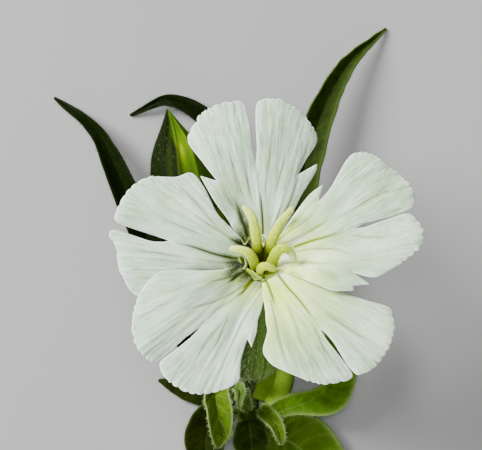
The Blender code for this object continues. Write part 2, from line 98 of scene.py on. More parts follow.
# A petal's right and left edges run from the claw to the notch between its lobes, as (along, across)
# from the throat. A point marked SHARP is a corner: a tooth's tip, or the bottom of the cut beside it.
# Limb and claw are its directions outside and inside the tube, in degrees, and notch is how far along
# the cut between its lobes is. Lift is how far its left and its right half rise, tuck how far its sides
# sink near the throat, and scallop how deep its scallops are. Mouth is how far along it is olive, in a
# lighter copy on its painted lit side, and dark how far along it is painted near black as shade deep
# in the throat. Warm is how far from the throat it is yellow, and glow how far from the throat its
# colour is brightened as painted light. Sunny is how much of its colour is the painted lit side rather
# than the painted shaded side. Lines are its veins and folds.
SHARP = "sharp"
PETALS = {
    "petal_top": {
        "limb": 93.4, "claw": 90, "lift": (0, 0), "tuck": .35, "notch": 9.8, "mouth": 1.3, "warm": 6,
        "dark": .8, "sunny": .45, "painted_glow": 0, "scallop": 1,
        "right": [(1.4, 1.15), (2.2, 1.6), (2.95, 2.06), (4.1, 2.82), (5.3, 3.5), (6.5, 4.18), (8.7, 5.7),
            (9.5, 5.95, SHARP), (8.5, 3.9, SHARP), (10, 4.9), (11.9, 6.1), (13.8, 5.4), (15.2, 4.1),
            (15.7, 3.1, SHARP), (15.95, 2.9), (16.1, 1.5), (15.9, .6), (14.6, .28), (11.4, .25)],
        "left": [(1.4, 1.15), (2, 1.45), (2.8, 1.92), (3.85, 2.62), (4.6, 2.97), (6.6, 4.25),
            (9, 5.4, SHARP), (8.4, 3.8, SHARP), (10.6, 5.3), (12.4, 6.4), (13.8, 5.85), (15, 5.05),
            (15.75, 3.7), (16.1, 1.6), (15.7, .75), (13.4, .3), (11.4, .25)],
        "lines": [
            ("ridge", [(9.8, 0), (7.8, 0), (5.9, -.1), (4.2, -.2)]),
            ("crease", [(2.9, -.3), (4.2, -.35), (5.9, -.3), (7.5, -.2)]),
            ("crease", [(2.6, 1), (4.5, 1.6), (6.2, 2.1), (7.3, 2.5)]),
            ("faint", [(3.3, 1.3), (5, 2), (6.5, 2.7), (8.2, 3.4)]),
            ("faint", [(5.9, .5), (8.3, .9), (11.3, 1.3)]),
            ("faint", [(5.9, 1.1), (8.9, 2), (12.4, 2.8)]),
            ("ridge", [(2.8, -.9), (3.8, -1.2), (5.1, -1.8), (6.2, -2.2), (7.6, -2.8)]),
            ("faint", [(3.9, -1.5), (5.1, -2), (6.1, -2.4)]),
            ("faint", [(5.8, -.6), (9.7, -1.2), (13.1, -1.8)]),
            ("faint", [(6.3, -1.5), (9.1, -2.5), (12, -3.5)]),
            ("faint", [(3.4, -1.6), (4.8, -2.3), (6.3, -3.3), (8, -4.3)]),
        ],
    },
    "petal_right": {
        "limb": 22.1, "claw": 18, "lift": (0, .5), "tuck": 0, "notch": 9.4, "mouth": 1.55, "warm": 9.5,
        "dark": .2, "sunny": 1, "painted_glow": 9.5, "scallop": 1.25,
        "right": [(1.4, 1.2), (2.4, 1.8), (3.4, 2.85), (4.3, 3.7), (5.3, 4.65), (6.2, 5.05),
            (7.2, 5.4, SHARP), (7.3, 4.95, SHARP), (8.8, 5.4, SHARP), (7.8, 3.8, SHARP), (9, 4.75),
            (10, 5.05), (12.3, 4.7), (14.6, 3.95), (15.5, 2.8), (15.35, 1.4), (14.8, .6), (12.6, .4),
            (10.6, .3)],
        "left": [(1.4, 1.2), (2.1, 1.65), (2.9, 2.17), (4.1, 2.96), (5, 3.55), (6.9, 4.62), (8.4, 5, SHARP),
            (7.3, 3.6, SHARP), (8.9, 4.4), (11.4, 6.3), (12.6, 6.65), (14, 5.8), (14.65, 4.75), (15.4, 3.7),
            (15.8, 2.7), (16.15, 1.65), (16.15, .6), (15.7, -.05), (15, -.35), (12.7, -.2), (10.6, .1)],
        "lines": [
            ("vein", [(3.4, .5), (5.1, .4), (7.1, .2), (9.4, 0)]),
            ("faint", [(1.9, -.5), (3.5, -1.1), (5, -1.8), (7.4, -2.9)]),
            ("faint", [(2.4, -1.6), (3, -2.2), (3.6, -2.9)]),
            ("faint", [(2.4, 1.6), (3.6, 2), (5.2, 2.3), (7.8, 3.1)]),
            ("faint", [(2.4, 1.2), (4.4, 1.2), (6.6, 1.5), (9.3, 1.8)]),
            ("faint", [(3.5, 0), (5.3, -.4), (7.1, -1.2), (8.2, -2.1), (9.4, -2.8)]),
            ("faint", [(9.8, 1.6), (12.5, 2), (15.2, 1.9)]),
            ("faint", [(8.5, -.2), (10.6, -1.4), (13.3, -2.3)]),
            ("fold", [(4.5, -2.2), (5.7, -3.1), (6.7, -4.4)]),
        ],
    },
    "petal_lower_right": {
        "limb": -47, "claw": -54, "lift": (-.5, 0), "tuck": 0, "notch": 8, "mouth": 1.2, "warm": 11.5,
        "dark": -.6, "sunny": 1, "painted_glow": 8, "scallop": 1,
        "right": [(1.1, .78), (1.85, 1.42), (2.55, 2.1), (3.3, 2.65), (4.1, 3.3), (4.9, 3.9), (5.8, 5.3),
            (6.5, 5.6), (7.5, 5.6), (9.1, 4.95), (11, 4), (12.1, 3.2), (13, 1.8), (13.35, 1), (12.8, .6),
            (10.8, .4), (9, .25)],
        "left": [(1.3, 1.15), (2.2, 1.95), (3.3, 2.75), (4.4, 3.35), (5.6, 3.6), (7, 3.9), (9.1, 5),
            (11, 6.1), (12.1, 5.8), (13.15, 4.7), (13.8, 3.2), (14.1, 1.2), (13.75, 0), (13.35, -.45),
            (12, -.4), (10, 0), (8.8, .1)],
        "lines": [
            ("vein", [(1.9, .5), (3.3, .4), (4.9, .4), (6.6, .2), (8, 0)]),
            ("vein", [(1.2, -.6), (2.1, -.9), (3.1, -1.4), (4.1, -1.9)]),
            ("faint", [(2.9, -1.6), (5, -2.8), (7, -4.1)]),
            ("vein", [(2.35, 1.67), (3.8, 2.18), (4.9, 2.74)]),
            ("faint", [(3.8, -.6), (6.2, -1.4), (8.4, -2.6)]),
            ("faint", [(6.8, 1.2), (10.1, 2), (12.7, 2.7)]),
            ("faint", [(6.9, -.1), (9.2, -.9), (11.1, -1.7)]),
        ],
    },
    "petal_lower_left": {
        "limb": 224.8, "claw": 234, "lift": (0, .75), "tuck": 0, "notch": 7.8, "mouth": 1.3, "warm": 6.5,
        "dark": .6, "sunny": .2, "painted_glow": 0, "scallop": .9,
        "right": [(1.45, 1.4), (2.2, 1.9), (3.1, 2.6), (4.1, 3.45), (5.2, 4.55), (6.5, 5.9), (7.3, 6.45),
            (8.5, 6.6), (10, 6.35), (11.7, 5.5), (12.9, 4.3), (13.7, 2.9), (13.8, 1.3), (13.3, .7),
            (12.3, .5), (9.8, .35)],
        "left": [(.9, 1.2), (1.55, 1.72), (2.26, 2.35), (3.03, 2.92), (3.9, 3.35), (4.8, 4.05),
            (6.1, 4.7, SHARP), (5.8, 3.85, SHARP), (7.6, 4.8), (8.9, 5.9), (9.6, 6), (10.7, 5.6),
            (12.3, 4.6), (13.4, 3), (13.8, 1), (13.4, -.2), (12.9, -.4), (12.1, -.3), (9.6, 0)],
        "lines": [
            ("vein", [(1.6, .4), (2.9, .5), (4.3, .35)]),
            ("vein", [(1.7, .2), (2.4, .3), (3.2, .38)]),
            ("faint", [(3.6, .45), (4.6, .3), (6.1, -.1), (7.9, 0)]),
            ("ridge", [(1.6, 1.5), (2.5, 1.7), (3.5, 1.9), (4.5, 2.1), (5.6, 2.4), (6.7, 2.8), (7.5, 3.2)]),
            ("vein", [(1.2, 1.2), (1.9, 1.4), (2.5, 1.6)]),
            ("crease", [(1.4, -.88), (2.1, -.87), (2.8, -1), (3.7, -1.25)]),
            ("faint", [(2.1, -.9), (3.6, -1.8), (5.4, -3)]),
            ("faint", [(2.4, .2), (4.3, -.3), (6.4, -1.2), (9.2, -3.1)]),
            ("faint", [(5, .9), (6.9, 1.6), (9.2, 2.6)]),
            ("faint", [(5.9, 1.1), (9, 1.4), (11.5, 2.2)]),
        ],
    },
    "petal_left": {
        "limb": 164.8, "claw": 162, "lift": (-.75, 0), "tuck": 0, "notch": 9.1, "mouth": 1.3, "warm": 5,
        "dark": .8, "sunny": .1, "painted_glow": 0, "scallop": .7,
        "right": [(1.4, 1.2), (1.9, 1.6), (2.64, 2.06), (3.74, 2.68), (4.5, 3.1), (5.6, 3.85), (7.4, 5.85),
            (8.9, 6.85), (10.2, 6.1), (11.7, 5.7), (12.9, 5.3), (14.3, 3.7), (14.9, 1.3), (14.5, .4),
            (12.5, .2), (10.4, .1)],
        "left": [(1.3, 1.1), (2.2, 1.6), (3.4, 2.3), (5, 3.1), (7.1, 4.1), (9, 5.3), (10.5, 5.9),
            (11.9, 5.2), (13.1, 3.8), (14, 1.9), (14.9, 1), (14.6, .4), (13.3, .4), (11, .5), (9.8, .3)],
        "lines": [
            ("crease", [(1.7, -.1), (2.6, 0), (3.9, .1), (5.1, .1), (6.7, 0), (8.3, 0), (9.1, 0)]),
            ("vein", [(2.3, -1.4), (2.9, -1.55), (3.5, -1.7), (4.2, -1.93)]),
            ("faint", [(2.9, -1.55), (3.5, -1.7), (4.7, -2.1), (6.4, -2.6), (8, -3.2)]),
            ("faint", [(4.6, -2.1), (6.6, -3.4), (8.6, -4.6), (10.1, -5)]),
            ("faint", [(1.7, .7), (3.3, 1.3), (5.2, 1.8), (7.5, 2.2)]),
            ("faint", [(2.1, .3), (4.4, .8), (6.9, 1.1)]),
            ("faint", [(6, -1.3), (8.6, -1.6), (11.7, -2.2)]),
            ("faint", [(6.9, 1.1), (9.7, 1.4), (12.6, 1.8)]),
        ],
    },
}

# The scales at the mouth of the throat: how much painted shade, how olive and how much painted
# highlight at the rim each one has, and then its foot line and its top line of (x, y, height) from
# the throat.
SCALES = {
    "petal_lower_left": [
        (.5, .5, .45,
         [(-1.55, -.45, .55), (-1.07, -.86, .7), (-.5, -1.28, .8), (.05, -1.6, .85)],
         [(-1.44, -.17, .85), (-.88, -.47, .95), (-.3, -.9, 1.05), (.27, -1.34, 1)]),
        (.5, .5, .45,
         [(-1, -1, .75), (-.7, -1.12, .85), (-.3, -1.2, .9)],
         [(-.95, -.82, 1), (-.72, -1.28, 1.15), (-.22, -1.32, 1.1)]),
    ],
    "petal_left": [
        (.65, .35, .36,
         [(-2.05, .95, .25), (-1.92, .68, .2), (-1.85, .45, .15)],
         [(-2.28, .78, .5), (-2.12, .4, .6), (-1.9, .24, .5)]),
        (0, .25, .75,
         [(-1.9, 1.12, .1), (-1.55, .8, .1), (-1.4, .4, .1), (-1.4, 0, .15), (-1.6, -.36, .35)],
         [(-2.05, 1.05, .5), (-1.76, .86, .65), (-1.64, .5, .7), (-1.6, .1, .7), (-1.86, -.25, .65)]),
    ],
    "petal_top": [
        (1, .05, .15,
         [(-1.95, 2.85, -.6), (-1.78, 2.6, -.6), (-1.62, 2.45, -.6), (-1.42, 2.65, -.6), (-1.2, 2.95, -.6)],
         [(-2.02, 2.65, -.1), (-1.8, 2.2, .05), (-1.64, 2.02, .1), (-1.4, 2.25, .05), (-1.12, 2.68, -.1)]),
        (1, .1, .15,
         [(-.02, 2.95, -1), (.12, 2.6, -.95), (.05, 2.3, -.8)],
         [(-.05, 2.88, -.6), (.1, 2.62, -.5), (.02, 2.32, -.4)]),
    ],
    "petal_right": [
        (0, 0, .75,
         [(1.9, -.1, .35), (2.1, -.35, .45), (2.35, -.65, .5), (2.6, -.75, .5)],
         [(1.98, .08, .6), (2.2, -.05, .68), (2.42, -.42, .68), (2.75, -.55, .6)]),
    ],
    "petal_lower_right": [
        (0, .1, .75,
         [(1.25, -.5, .5), (1.6, -.4, .5), (1.9, -.6, .55), (1.8, -.95, .6)],
         [(1.15, -.25, .7), (1.55, -.1, .78), (1.9, -.28, .78), (2, -.72, .75)]),
        (0, 0, 0,
         [(.25, -1.5, .1), (.7, -1.3, .15), (1.2, -.95, .25), (1.7, -.5, .3)],
         [(.25, -.75, -.4), (.55, -.55, -.35), (.9, -.4, -.25), (1.3, -.2, 0)]),
    ],
}

# Painted shade and painted light on the petals: the petal's point (along, across), the spread along
# and across, and the strength. Painted light has a negative strength.
PAINTED_SHADE_AND_LIGHT = {
    "petal_top": [(3.3, 1.25, 1.1, .35, 1.1), (2.7, 1.9, 1.1, .75, .75), (4.6, 1.6, 1.2, .5, .45),
        (6.2, 3.2, 2.2, .9, .15), (7.9, 2.4, 2.2, 1.6, .08), (2.6, .6, 1.3, .3, .35),
        (3.4, -1.9, 1.6, .5, .15), (2.7, -.3, 1.4, .45, -.4), (11.3, -3.2, 5, 2.6, .1),
        (13, 5.4, 1.6, 1.2, -.25)],
    "petal_left": [(2.4, .6, .9, .55, .85), (2, 1.2, .8, .5, .9), (2.9, .05, 1.5, .3, .5),
        (2.6, -1, 1.6, 1, .12), (2.4, -1.6, .75, .4, 1.1), (5, 1.8, 1.8, .6, .12), (3.2, 1.4, 1.5, .5, .3),
        (7, -3.9, 2.2, 1.2, -.4), (7.5, 1, 3, .7, -.35), (13, -1.2, 2, 1, .06)],
    "petal_lower_left": [(2.1, -1.7, .9, .4, .85), (1.8, -1.1, .6, .4, .5), (1.9, -.5, .8, .7, .75),
        (1.7, .3, .7, .35, .35), (2.5, -1.1, .6, .35, .6), (3.6, -.9, 1.6, .4, .15), (1.9, .9, .6, .4, .2),
        (2.3, .38, .9, .2, .1), (7.3, -1, 3.5, .9, -.45), (11.2, 1.8, 2.2, 1.9, .05),
        (5.6, 3.3, 2.5, .5, -.5), (8.8, 5.3, 1.5, .8, -.35)],
    "petal_right": [(2.8, -.1, .7, .55, -.9), (2.3, -.6, .8, .5, -.9), (4.1, 2.75, 1.2, .45, .35),
        (6, -3.6, 1.8, .5, .05), (3.9, 1, 1.3, .5, -.65), (4.8, -1.4, 2, 1, -.5),
        (13.6, 3.6, 2.4, 2.2, .05), (12, -2.6, 3, 1.6, -.35)],
    "petal_lower_right": [(2.1, 1.1, .9, .9, -.9), (3.6, 2.2, 1.2, .6, -.3), (11.4, 3.4, 2.6, 2, -.4),
        (8.8, -2.8, 3.2, 1.6, .07), (3.4, -2.4, 2, .6, -.3)],
}

# How a line shows on a petal: height over the face, half width, and how much vein green, painted
# shade (dark olive, in the creases) and painted highlight (white, on the ridges) it carries.
LINES = {
    "vein": (-.09, .13, 1, 0, 0),
    "faint": (-.05, .11, .5, 0, 0),
    "crease": (-.2, .15, .6, .95, 0),
    "ridge": (.1, .11, 0, 0, .6),
    "fold": (-.12, .35, 0, .25, 0),
}

# Each style: the direction it leaves the ovary in, how strong its colour is, the height under which it
# gets painted shade, how much broader its foot, how much paler its tip is (its own paler colour, and on
# a tip that turns down also painted light), and its line as (x, y, height).
# Every style is rooted in the ovary, at the same (distance along the tube's axis, radius).
STYLES = {
    "style_upper_left": {
        "heading": 117, "tone": .97, "dark": .72, "foot": .45, "pale": 0,
        "line": [(-.3, .28, -.9), (-.42, 1.3, .1), (-.52, 2.5, .8), (-.68, 3.6, 1.1), (-.98, 4.7, 1.15),
            (-1.8, 5.8, .9)]},
    "style_upper_right": {
        "heading": 45, "tone": 1, "dark": .65, "foot": .45, "pale": 0,
        "line": [(.4, .16, -.8), (.68, 1.4, .1), (.88, 2.3, .6), (1.25, 3.15, .95), (1.75, 4.1, 1),
            (2.3, 4.8, 1), (3, 5.6, .8)]},
    "style_left": {
        "heading": 189, "tone": .95, "dark": .38, "foot": .1, "pale": .2,
        "line": [(-.6, -.43, -.45), (-.72, .2, .5), (-.98, .85, 1.2), (-1.45, 1.35, 1.5), (-2.2, 1.6, 1.45),
            (-3.1, 1.65, 1.2)]},
    "style_right": {
        "heading": 333, "tone": .86, "dark": -.1, "foot": .2, "pale": .8,
        "line": [(.72, -.62, -.3), (1, .5, .7), (1.5, 1.5, 1.6), (2.1, 1.7, 1.9), (2.65, 1.45, 1.7),
            (2.95, .95, 1.4), (3.05, .4, 1.1)]},
    "style_front": {
        "heading": 261, "tone": .8, "dark": .25, "foot": 0, "pale": .1,
        "line": [(-.15, -.9, -.1), (-.25, -.5, .6), (-.03, -.1, 1.15), (.38, 0, 1.35), (.85, -.15, 1.3),
            (1.3, -.42, 1.1)]},
}
STYLE_ROOTS = [(-6.5, .56), (-4, .76)]
STYLE_PROFILE = [(0, .5), (.3, .75), (.45, 1.12), (.6, 1.06), (.8, .92), (.93, .74), (.985, .55), (1, .25)]

# Leaves: greatest half width, fold of the two halves in degrees, half width at the base, look, how far
# the pale edges reach in, how much of the base is young green, and the centre line as (x, y, height).
# A leaf with a shape has its own half widths on the two sides, as (place along it, half width).
LEAVES = {
    "bract_left": {
        "width": 1.8, "fold": 34, "base": .4, "look": "painted_shade_black",
        "line": [(-2.85, -14.1, 1), (-5.2, -11.2, 1.9), (-7.4, -7, 2.2), (-11.6, 2.6, 2.4),
            (-14.3, 8.5, 2.4), (-16.8, 13.5, 1.8), (-21.2, 17, .2)]},
    "bract_right": {
        "width": 2, "fold": 34, "base": 1.3, "look": "bract", "rims": (.08, .4), "young": .28,
        "line": [(.35, -14.2, 1), (1.5, -11.6, 1.3), (2.7, -4, 1.9), (3.9, 7, 2.2), (6.2, 15.2, 2),
            (9, 20.4, 1.5), (12.9, 24.1, .2)]},
    "leaf_right_upper": {
        "fold": 24, "look": "fresh", "rims": (.15, .35),
        "line": [(.2, -15.9, 1.3), (2.3, -14.9, 2.5), (5.4, -13.8, 2.9), (7.5, -11.9, 2.7), (8.5, -8, 2.9),
            (7.9, -2.4, 4.6)],
        "shape": ([(0, .5), (.15, 1.2), (.3, 1.4), (.45, .9), (.6, 1), (.8, 2.3), (.93, 1.6), (1, .1)],
                  [(0, .5), (.15, .7), (.3, 1.1), (.4, 2.1), (.5, 2.6), (.62, 2.3), (.8, 1.5), (1, .1)])},
    "leaf_right_lower": {
        "width": 3.5, "fold": 10, "base": .5, "look": "deep", "rims": (.35, .15),
        "line": [(.2, -17.4, .9), (2.6, -18.1, .5), (5.4, -20.2, .4), (8.2, -23.8, .3), (10.2, -28.2, .2)]},
    "leaf_left_folded": {
        "fold": 42, "look": "olive", "rims": (.1, .12),
        "line": [(-2.45, -15.3, 2.1), (-4.3, -13.8, 4.4), (-4.6, -13.5, 6.2), (-4.3, -15.6, 6.2),
            (-4.4, -18.8, 3.2)],
        "shape": ([(0, .3), (.3, 1.2), (.6, 2), (.8, 1.7), (.93, .8), (1, .1)],
                  [(0, .3), (.3, 1), (.6, 1.5), (.8, 1.2), (.93, .6), (1, .1)])},
    "leaf_left_small": {
        "width": .75, "fold": 30, "base": .3, "look": "pale",
        "line": [(-1.3, -15, 2.6), (-1.8, -13.5, 4.4), (-2.2, -12.6, 6), (-2.1, -13, 7.2),
            (-2.2, -14.6, 6.9)]},
    "leaf_left_lower": {
        "width": 2.3, "fold": 22, "base": .5, "look": "dark",
        "line": [(-2.8, -16.5, 1.2), (-4.5, -16.3, .8), (-5.6, -17.8, .6), (-5.4, -20.8, .4),
            (-4.2, -24.5, .2)]},
    "leaf_left_back": {
        "width": 1.3, "fold": 5, "base": .4, "look": "dark",
        "line": [(-2.75, -14.9, .6), (-5.4, -13.4, .3), (-8, -12.8, .2), (-10.5, -12, .2)]},
    "leaf_front": {
        "width": 1.75, "fold": 20, "base": .4, "look": "bract",
        "line": [(-1.3, -16, 2.75), (-1.1, -17.2, 3.4), (-.9, -19, 3.5), (-.7, -21.5, 3), (-.6, -24, 2.7)]},
    "leaf_right_young": {
        "width": .8, "fold": 30, "base": .3, "look": "olive", "rims": (.12, .12),
        "line": [(0, -14.8, 2.5), (.7, -15.3, 4), (1.5, -16.2, 4.7), (2, -17.4, 4.7), (2.1, -18.4, 4.1)]},
    "bud_bract": {
        "width": 1.1, "fold": 25, "base": .3, "look": "painted_shade_black", "young": .45,
        "line": [(-5, -.8, 2.5), (-4, 3, 1.4), (-3.5, 9, 1.1), (-5.2, 14.3, 1.3), (-9.3, 16.7, 1.2),
            (-13.4, 15.2, .2)]},
}

# The bud's two ends and the stalks' centre lines, as (x, y, height), with the stalks' radii evenly
# along them. The flower's stalk ends on the calyx's axis, below the throat.
BUD_BASE = (-6.8, 1.9, 3.1)
BUD_TIP = (-9.5, 15.8, 3.4)
BUD_STALK = [(-2.35, -13.8, 2.4), (-3, -11.5, 2.9), (-4.7, -5, 2.8), (-6.65, 1.5, 3.1)]
BUD_STALK_RADII = (.6, .55, .6, .8)
PEDICEL = [(-1.3, -13.6, 1.1), (-1.3, -13.1, 1.2), (-1.27, -12.5, 1.9)]
PEDICEL_TOP = (-22.2, -19.3)
PEDICEL_RADII = (.9, .8, .8, .9)

# Turned profiles: (distance along the axis, radius). Those in the flower start from the throat.
CALYX_PROFILE = [(-19, 1.05), (-18.6, 1.7), (-17.6, 2.7), (-15.8, 3.4), (-13.2, 3.6), (-10, 3.35),
    (-6.6, 2.85), (-3.8, 2.55), (-2.1, 2.42)]
OVARY_PROFILE = [(-15.4, 0), (-15.3, .7), (-14.4, 1.4), (-12.8, 1.9), (-10.6, 1.8), (-8.4, 1.2), (-7, .8),
    (-6.9, 0)]
RECEPTACLE_PROFILE = [(-18.7, 0), (-18.6, .7), (-17.4, .65), (-15.9, .9), (-15.7, 0)]
BUD_PROFILE = [(0, 0), (.15, 1), (1.2, 2.1), (2.8, 2.8), (5.2, 3.2), (7.4, 3.15), (9.2, 2.75), (10.7, 2.05),
    (12.3, 1.05), (13.4, .45), (14.2, 0)]

# A claw from its foot in the calyx to the throat: how far from the axis it stands, its half width, and
# where its edges have points.
CLAW_OUT = [(-15.4, 1.5), (-14.4, 2.4), (-12, 2.6), (-8, 2.25), (-4, 1.78), (-1.5, 1.65), (3, 1.65)]
CLAW_HALF_WIDTH = [(-13.7, .48), (-8, .6), (-2.5, .85), (0, 1), (1.2, 1.02)]
CLAW_STATIONS = (-13.7, -11, -8, -5, -2.5, -.8, .6)

# Leaf looks: the blade, its darker mottling, the pale edge, and the hairs: how many to a millimetre along
# the edges and over the face, and how dark they are. The dark and bract looks and the blackest one are
# painted shade: their blades are near black, and their hairs are darkened to match.
LEAF_LOOKS = {
    "fresh": ((0.082, 0.187, 0.0), (0.033, 0.089, 0.0), (0.202, 0.302, 0.072), (20, 5, 0.15)),
    "olive": ((0.053, 0.104, 0.002), (0.021, 0.045, 0.001), (0.173, 0.245, 0.072), (20, 5, 0.15)),
    "pale": ((0.058, 0.108, 0.014), (0.022, 0.043, 0.004), (0.144, 0.223, 0.072), (20, 5, 0.15)),
    "dark": ((0.01, 0.017, 0.0), (0.004, 0.006, 0.0), (0.022, 0.032, 0.006), (9, 1, 0.8)),
    "painted_shade_black": ((0.003, 0.007, 0.0), (0.001, 0.003, 0.0), (0.006, 0.011, 0.001), (9, 1, 0.97)),
    "bract": ((0.01, 0.02, 0.0), (0.004, 0.008, 0.0), (0.036, 0.065, 0.011), (9, 1, 0.8)),
    "deep": ((0.043, 0.094, 0.0), (0.022, 0.05, 0.0), (0.158, 0.245, 0.058), (9, 1, 0.15)),
}

# Lights: the place from the throat in metres, the side of the square in metres, and the power in watts.
LIGHTS = {
    "key": ((-0.34, 0.22, 0.25), 0.22, 8.6),
    "front": ((0.05, -0.40, 0.22), 0.30, 1.1),
    "top": ((-0.02, 0.04, 0.45), 0.12, 1.4),
}
SKY_COLOUR, SKY_STRENGTH = (0.92, 0.96, 1.0, 1.0), 0.222
TABLE_REACH = 3.0
CAMERA_FROM_THROAT = (-2.01, 3.93, 300.0)
SENSOR_WIDTH, LENS = 36.0, 233.9
CAMERA_CLIP = (0.01, 10.0)


class Tone:
    """Colours that the finishes mix into their main ones."""
    # Painted shade: the petals on the shaded side.
    petal_painted_shade_side = (0.51, 0.74, 0.54)
    petal_lit = (0.76, 0.95, 0.0)
    petal_cream = (0.62, 0.76, 0.28)
    petal_cloud = (0.36, 0.48, 0.30)
    petal_clear = (0.86, 0.97, 0.80)
    petal_fibre = (0.32, 0.42, 0.24)
    petal_fibre_light = (0.86, 0.98, 0.80)
    petal_speckle = (0.24, 0.31, 0.12)
    # Painted reflection: a lilac cast on the petals' outer edges.
    petal_edge_painted_reflection = (0.62, 0.64, 0.88)
    # Painted light on the petals.
    petal_painted_light = (0.98, 1.0, 0.78)
    # Painted highlight on the petals' ridges and edges.
    petal_painted_highlight = (0.94, 1.0, 0.90)
    petal_mouth_lit = (0.42, 0.58, 0.0)
    black = (0.0, 0.0, 0.0)
    style_pale = (0.64, 0.744, 0.336)
    # Painted shade on the styles low in the throat.
    style_painted_shade = (0.024, 0.032, 0.0)
    calyx_base = (0.202, 0.274, 0.086)
    calyx_mottle = (0.072, 0.144, 0.007)
    calyx_shaded = (0.009, 0.025, 0.001)
    stem_streak = (0.009, 0.018, 0.001)
    stem_mottle = (0.025, 0.029, 0.003)
    leaf_young = (0.19, 0.35, 0.02)
    bud_mottle = (0.065, 0.108, 0.004)
    # Painted light and shade on the bud.
    bud_painted_light = (0.52, 0.72, 0.0)
    bud_painted_shade = (0.003, 0.006, 0.0)
    bud_crest = (0.086, 0.144, 0.022)
    bud_painted_lit_side = (0.05, 0.115, 0.003)
    ovary_mottle = (0.115, 0.173, 0.014)
    # Painted shade on hairs.
    hair_painted_shade = (0.014, 0.025, 0.002)
    table_speck = (0.223, 0.223, 0.22)


# ---------------------------------------------------------------- sizes and colours to change

def length(name, description, default, low=0.0):
    return bpy.props.FloatProperty(name=name, description=f"{description}, in millimetres",
                                   default=default, min=low, precision=3)


def colour(name, description, default):
    return bpy.props.FloatVectorProperty(name=name, description=description, default=default,
                                         size=3, min=0.0, max=1.0, subtype="COLOR")


class CampionSizes(bpy.types.PropertyGroup):
    petal_thickness: length("Petal thickness", "Thickness in the middle of a petal", 0.24)
    petal_mesh: length("Petal mesh", "Spacing of the points on a petal", 0.13, 0.05)
    scallop: length("Scallops", "Depth of the fine scallops along a lobe's end", 0.36)
    pleat: length("Pleats", "Height of the fine pleats that fan out over a lobe", 0.07)
    waviness: length("Waviness", "Height of the slow waves of a petal's face", 0.22)
    ruffle: length("Ruffle", "Height of the waves along a lobe's end", 0.16)
    style_width: length("Style width", "Half width of a style where it is widest", 0.5)
    leaf_thickness: length("Leaf thickness", "Thickness of a leaf's blade", 0.26)
    calyx_hair: length("Calyx hair", "Length of the hairs on the calyx and the bud", 0.42)
    stem_hair: length("Stem hair", "Length of the hairs on the stem and the stalks", 0.5)
    leaf_hair: length("Leaf hair", "Length of the hairs along a leaf's edge", 0.30)
    hair_thickness: length("Hair thickness", "Thickness of a hair at its root", 0.03)


class CampionColours(bpy.types.PropertyGroup):
    petal: colour("Petal", "The petals' white", (0.52, 0.76, 0.49))
    petal_warm: colour("Petal, warm", "The petals close to the throat", (0.68, 0.97, 0.12))
    # Painted shade: the dark of the petals' creases.
    petal_shade: colour("Petal, furrow", "The olive of a petal's deep furrows", (0.04, 0.055, 0.0))
    petal_vein: colour("Petal vein", "The olive of the veins on the shaded side", (0.12, 0.15, 0.0))
    petal_vein_sunny: colour("Petal vein, lit", "The yellow of the veins on the lit side", (0.18, 0.24, 0.0))
    petal_mouth: colour("Petal, mouth", "The bend of a petal into the throat", (0.30, 0.35, 0.0))
    # Painted shade: the claws deep in the throat are near black.
    throat: colour("Throat", "The claws, deep in the throat", (0.015, 0.02, 0.0))
    style: colour("Style", "The styles' yellow green", (0.496, 0.656, 0.0))
    style_base: colour("Style, base", "The styles close to the throat", (0.224, 0.272, 0.0))
    style_tip: colour("Style, tip", "The styles' whitish edges and tips", (0.704, 0.792, 0.24))
    calyx: colour("Calyx", "The calyx between its ribs", (0.094, 0.192, 0.013))
    calyx_rib: colour("Calyx, rib", "The ribs of the calyx", (0.018, 0.036, 0.001))
    # Painted shade: the stalks' green is darkened nearly to black.
    stem: colour("Stem", "The stem and the stalks", (0.016, 0.03, 0.001))
    stem_pith: colour("Stem, cut end", "The pale pith at the cut", (0.324, 0.374, 0.18))
    bud: colour("Bud", "The bud's green panels", (0.016, 0.036, 0.0))
    bud_rib: colour("Bud, rib", "The bud's dark ribs", (0.022, 0.04, 0.002))
    ovary: colour("Ovary", "The ovary inside the calyx", (0.216, 0.302, 0.043))
    hair: colour("Hair", "The short hairs all over the green parts", (0.302, 0.389, 0.158))
    floor: colour("Table", "The pale table", (0.245, 0.245, 0.241))


def sizes():
    return bpy.context.scene.campion_sizes


def colours():
    return bpy.context.scene.campion_colours


# ---------------------------------------------------------------- numbers and curves

def smooth_step(x):
    x = np.clip(x, 0.0, 1.0)
    return x * x * (3.0 - 2.0 * x)


def spread(x, low, high):
    """0 where x is low, 1 where it is high, and smooth between them."""
    return smooth_step((x - low) / (high - low))


def bell(x, width):
    """1 where x is 0, fading out over a width on both sides."""
    return np.exp(-(x / width) ** 2)


def read_profile(profile, x):
    """The value at x of a profile of (position, value) pairs."""
    places, values = zip(*profile)
    return np.interp(x, places, values)


def smooth_line(points, per_span):
    """Catmull-Rom curve through the points, with per_span pieces between two neighbours."""
    points = np.array(points, float)
    ends = np.vstack([2 * points[0] - points[1], points, 2 * points[-1] - points[-2]])
    a, b, c, d = ends[:-3], ends[1:-2], ends[2:-1], ends[3:]
    t = (np.arange(per_span) / per_span)[:, None, None]
    spans = 0.5 * (2 * b + (c - a) * t + (2 * a - 5 * b + 4 * c - d) * t ** 2
                   + (3 * b - a - 3 * c + d) * t ** 3)
    return np.vstack([spans.transpose(1, 0, 2).reshape(-1, points.shape[1]), points[-1]])


def walked(line):
    """Distance walked along a line to each of its points."""
    return np.concatenate([[0.0], np.cumsum(np.linalg.norm(np.diff(line, axis=0), axis=1))])


def spaced(line, step):
    """The same line with its points evenly spaced, about a step apart."""
    at = walked(line)
    places = np.linspace(0.0, at[-1], max(2, round(at[-1] / step) + 1))
    return np.stack([np.interp(places, at, column) for column in line.T], axis=1)


